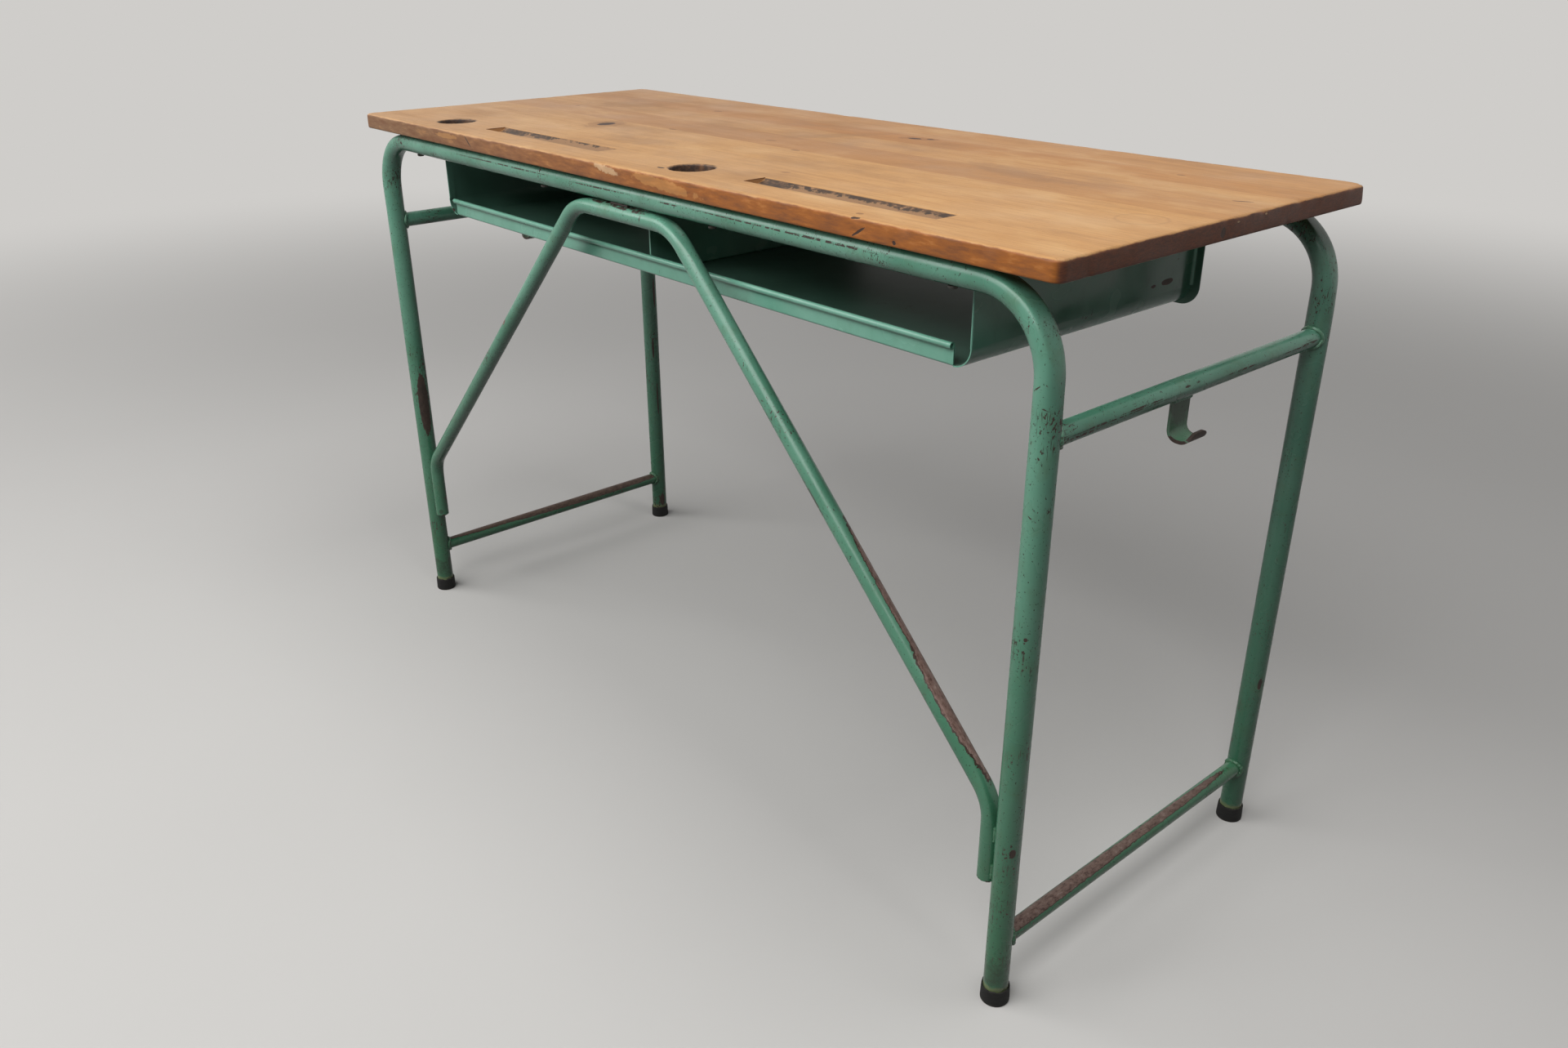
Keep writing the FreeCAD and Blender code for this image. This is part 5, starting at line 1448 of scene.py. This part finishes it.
# %% [markdown]
# ## Rubber ferrules
# Each leg stands in a black rubber cup. The rubber has gone hard, its mouth is chipped and its foot is
# dusty. One cup is turned from a profile. A tree sets it on the four feet, makes the copies real, and
# then roughens them in place, so that no two are worn alike.

# %% One ferrule
CUP_HEIGHT = 19.3
FERRULE = [
    (9.0, 0.0), (13.3, 0.0), (14.3, 0.35), (14.68, 1.2), (14.62, 4.0), (14.5, 8.0), (14.36, 12.0),
    (14.28, 15.2), (14.2, 17.6), (14.0, 18.8), (13.6, CUP_HEIGHT), (13.0, CUP_HEIGHT), (12.72, 18.6),
    (12.62, 16.0), (12.6, 8.0), (12.5, 5.1), (6.0, 5.0),
]


def ferrule_mesh(sides=56):
    mesh = bmesh.new()
    turns = [math.tau * i / sides for i in range(sides)]
    rings = [new_ring(mesh, [(r * math.cos(a), r * math.sin(a), z) for a in turns]) for r, z in FERRULE]
    for first, second in zip(rings, rings[1:]):
        bridge(mesh, first, second)
    mesh.faces.new(rings[0])
    mesh.faces.new(rings[-1])
    bmesh.ops.recalc_face_normals(mesh, faces=mesh.faces)
    data = bpy.data.meshes.new("ferrule_profile")
    mesh.to_mesh(data)
    mesh.free()
    return data


def ferrules_tree():
    tree, given = new_tree(
        "ferrules on feet",
        {
            "Cup": ("Object", None),
            "Cup height": ("Float", CUP_HEIGHT * MM),
            "Ragged mouth": ("Float", 0.0026),
            "Ragged from": ("Float", 0.0145),
            "Seed": ("Float", 1.0),
            "Material": ("Material", None),
        },
    )
    cup = add(tree, "GeometryNodeObjectInfo", {"Object": given["Cup"]}, out="Geometry")
    cups = add(tree, "GeometryNodeInstanceOnPoints", {"Points": given["Geometry"], "Instance": cup})
    cups = add(tree, "GeometryNodeRealizeInstances", {"Geometry": cups})
    height = add(tree, "GeometryNodeInputPosition")
    height = add(tree, "ShaderNodeSeparateXYZ", {0: height}, out="Z")
    upper = add(tree, "ShaderNodeMapRange", {0: height, 1: given["Ragged from"], 2: given["Cup height"]})
    torn = {"Scale": 150.0, "Detail": 3.0, "Roughness": 0.6, "W": given["Seed"]}
    torn = add(tree, "ShaderNodeTexNoise", torn, noise_dimensions="4D")
    torn = add(tree, "ShaderNodeMapRange", {0: torn, 1: 0.42, 2: 0.72, 3: 0.0, 4: -1.0})
    down = add(tree, "ShaderNodeMath", {0: torn, 1: upper}, operation="MULTIPLY")
    down = add(tree, "ShaderNodeMath", {0: down, 1: given["Ragged mouth"]}, operation="MULTIPLY")
    down = add(tree, "ShaderNodeCombineXYZ", {"Z": down})
    cups = add(tree, "GeometryNodeSetPosition", {"Geometry": cups, "Offset": down})
    finish_tree(tree, cups, given["Material"])
    return tree


print("ferrule profile:", len(FERRULE), "points,", CUP_HEIGHT, "mm high")


# %% Rubber and the four ferrules
def black_rubber():
    """Hard vulcanised rubber: nearly black, dull, greyer where dust sits at the foot and the mouth."""
    material, tree, coords = new_material("aged_black_rubber")
    z = add(tree, "ShaderNodeSeparateXYZ", {0: coords}, out="Z")
    dust = grains(tree, coords, (6, 6, 3), Detail=6.0, Roughness=0.7)
    foot = add(tree, "ShaderNodeMapRange", {0: z, 1: 3.4 * MM, 2: 0.6 * MM})
    mouth = {0: z, 1: (CUP_HEIGHT - 2.5) * MM, 2: CUP_HEIGHT * MM, 4: 0.6}
    mouth = add(tree, "ShaderNodeMapRange", mouth)
    where = add(tree, "ShaderNodeMath", {0: foot, 1: mouth}, operation="MAXIMUM")
    where = add(tree, "ShaderNodeMath", {0: where, 1: 0.8, 2: 0.08}, operation="MULTIPLY_ADD")
    dusty = add(tree, "ShaderNodeMapRange", {0: dust, 1: 0.38, 2: 0.66})
    dusty = add(tree, "ShaderNodeMath", {0: dusty, 1: where}, operation="MULTIPLY")
    colour = stain(tree, "#060606", "#4a4640", dusty)
    pores = grains(tree, coords, (1.6, 1.6, 1.6))
    bump = add(tree, "ShaderNodeBump", {"Height": pores, "Distance": 0.2 * MM, "Strength": 0.4})
    dull = {"Base Color": colour, "Roughness": 0.8, "IOR": 1.42, "Normal": bump}
    shader = add(tree, "ShaderNodeBsdfPrincipled", dull)
    add(tree, "ShaderNodeOutputMaterial", {"Surface": shader})
    return material


cup = bpy.data.objects.new("ferrule_profile", ferrule_mesh())
bpy.context.scene.collection.objects.link(cup)
feet = [([(side * LEG_X, front * FRAME_Y, 0.0)], False) for side in SIDES for front in SIDES]
piece = new_path("ferrules", feet)
run_tree(piece, ferrules_tree(), {"Cup": cup, "Seed": 5.0, "Material": black_rubber()})
bpy.data.objects.remove(cup)
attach(piece, "root")
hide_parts("ferrule_front_left", "ferrule_front_right", "ferrule_back_left", "ferrule_back_right")
print("ferrules:", len(piece.data.polygons), "faces")

# %% [markdown]
# ## Bag hooks and screws
# The hooks are 3 mm strip, bent and welded under the upper rails. School bags wore the paint thin on the
# strip, which turned a greyish green, and down to dark brown steel at the tip and the edges. The screws
# are plain slotted steel, zinc-plated and dull, and their grey is darkened with painted shade.

# %% Hooks
HOOK_MIDDLE = {-1: (9, 540), 1: (-22, 551)}
TIP_X, FLOOR_X = LEG_X + 21, LEG_X + 9
hook_wear, hook_grime = [], []
for side, (y, low) in HOOK_MIDDLE.items():
    hook_wear.append(((side * TIP_X, y, low + 7), (0, 0, 0), (6.5, 15, 8)))
    hook_wear += [((side * FLOOR_X, y + aside, low), (0, 0, 0), (14, 1.2, 3.5)) for aside in (-14, 14)]
    hook_grime.append(((side * LEG_X, y, low + 26), (0, 0, 0), (6, 16, 16)))
hook_tones = {"light": "#5d8069", "deep": "#4c6f58", "olive": "#4a4a33"}
hook_paint = enamel(
    "worn_enamel_hooks", hook_wear, grimy=hook_grime, chips=1.3, gloss=0.34, smeared=0.6, tone=hook_tones
)
finish_solids(hook_paint, "bag_hook_left", "bag_hook_right")
print("hooks painted with", hook_paint.name)


# %% Screws
def zinc_plated_steel():
    """Dull zinc over turned steel: grey darkened with painted shade, fairly rough, with brown stains of rust.
    """
    material, tree, coords = new_material("dull_zinc_screws")
    rust = grains(tree, coords, (3, 3, 3), Detail=5.0, Roughness=0.7)
    # The grey of the zinc is darkened with painted shade.
    colour = stain(tree, "#454440", "#33281f", rust, 0.45, 0.66)
    turned = grains(tree, coords, (0.8, 0.8, 0.8), Detail=2.0)
    bump = add(tree, "ShaderNodeBump", {"Height": turned, "Distance": 0.1 * MM, "Strength": 0.3})
    rough = add(tree, "ShaderNodeMapRange", {0: rust, 1: 0.4, 2: 0.7, 3: 0.42, 4: 0.7})
    plated = {"Base Color": colour, "Metallic": 0.8, "Roughness": rough, "Normal": bump}
    shader = add(tree, "ShaderNodeBsdfPrincipled", plated)
    add(tree, "ShaderNodeOutputMaterial", {"Surface": shader})
    return material


finish_solids(zinc_plated_steel(), "frame_screws", "tray_screws", "divider_screws")
print("screws plated with", NODES["frame_screws"].data.materials[0].name)
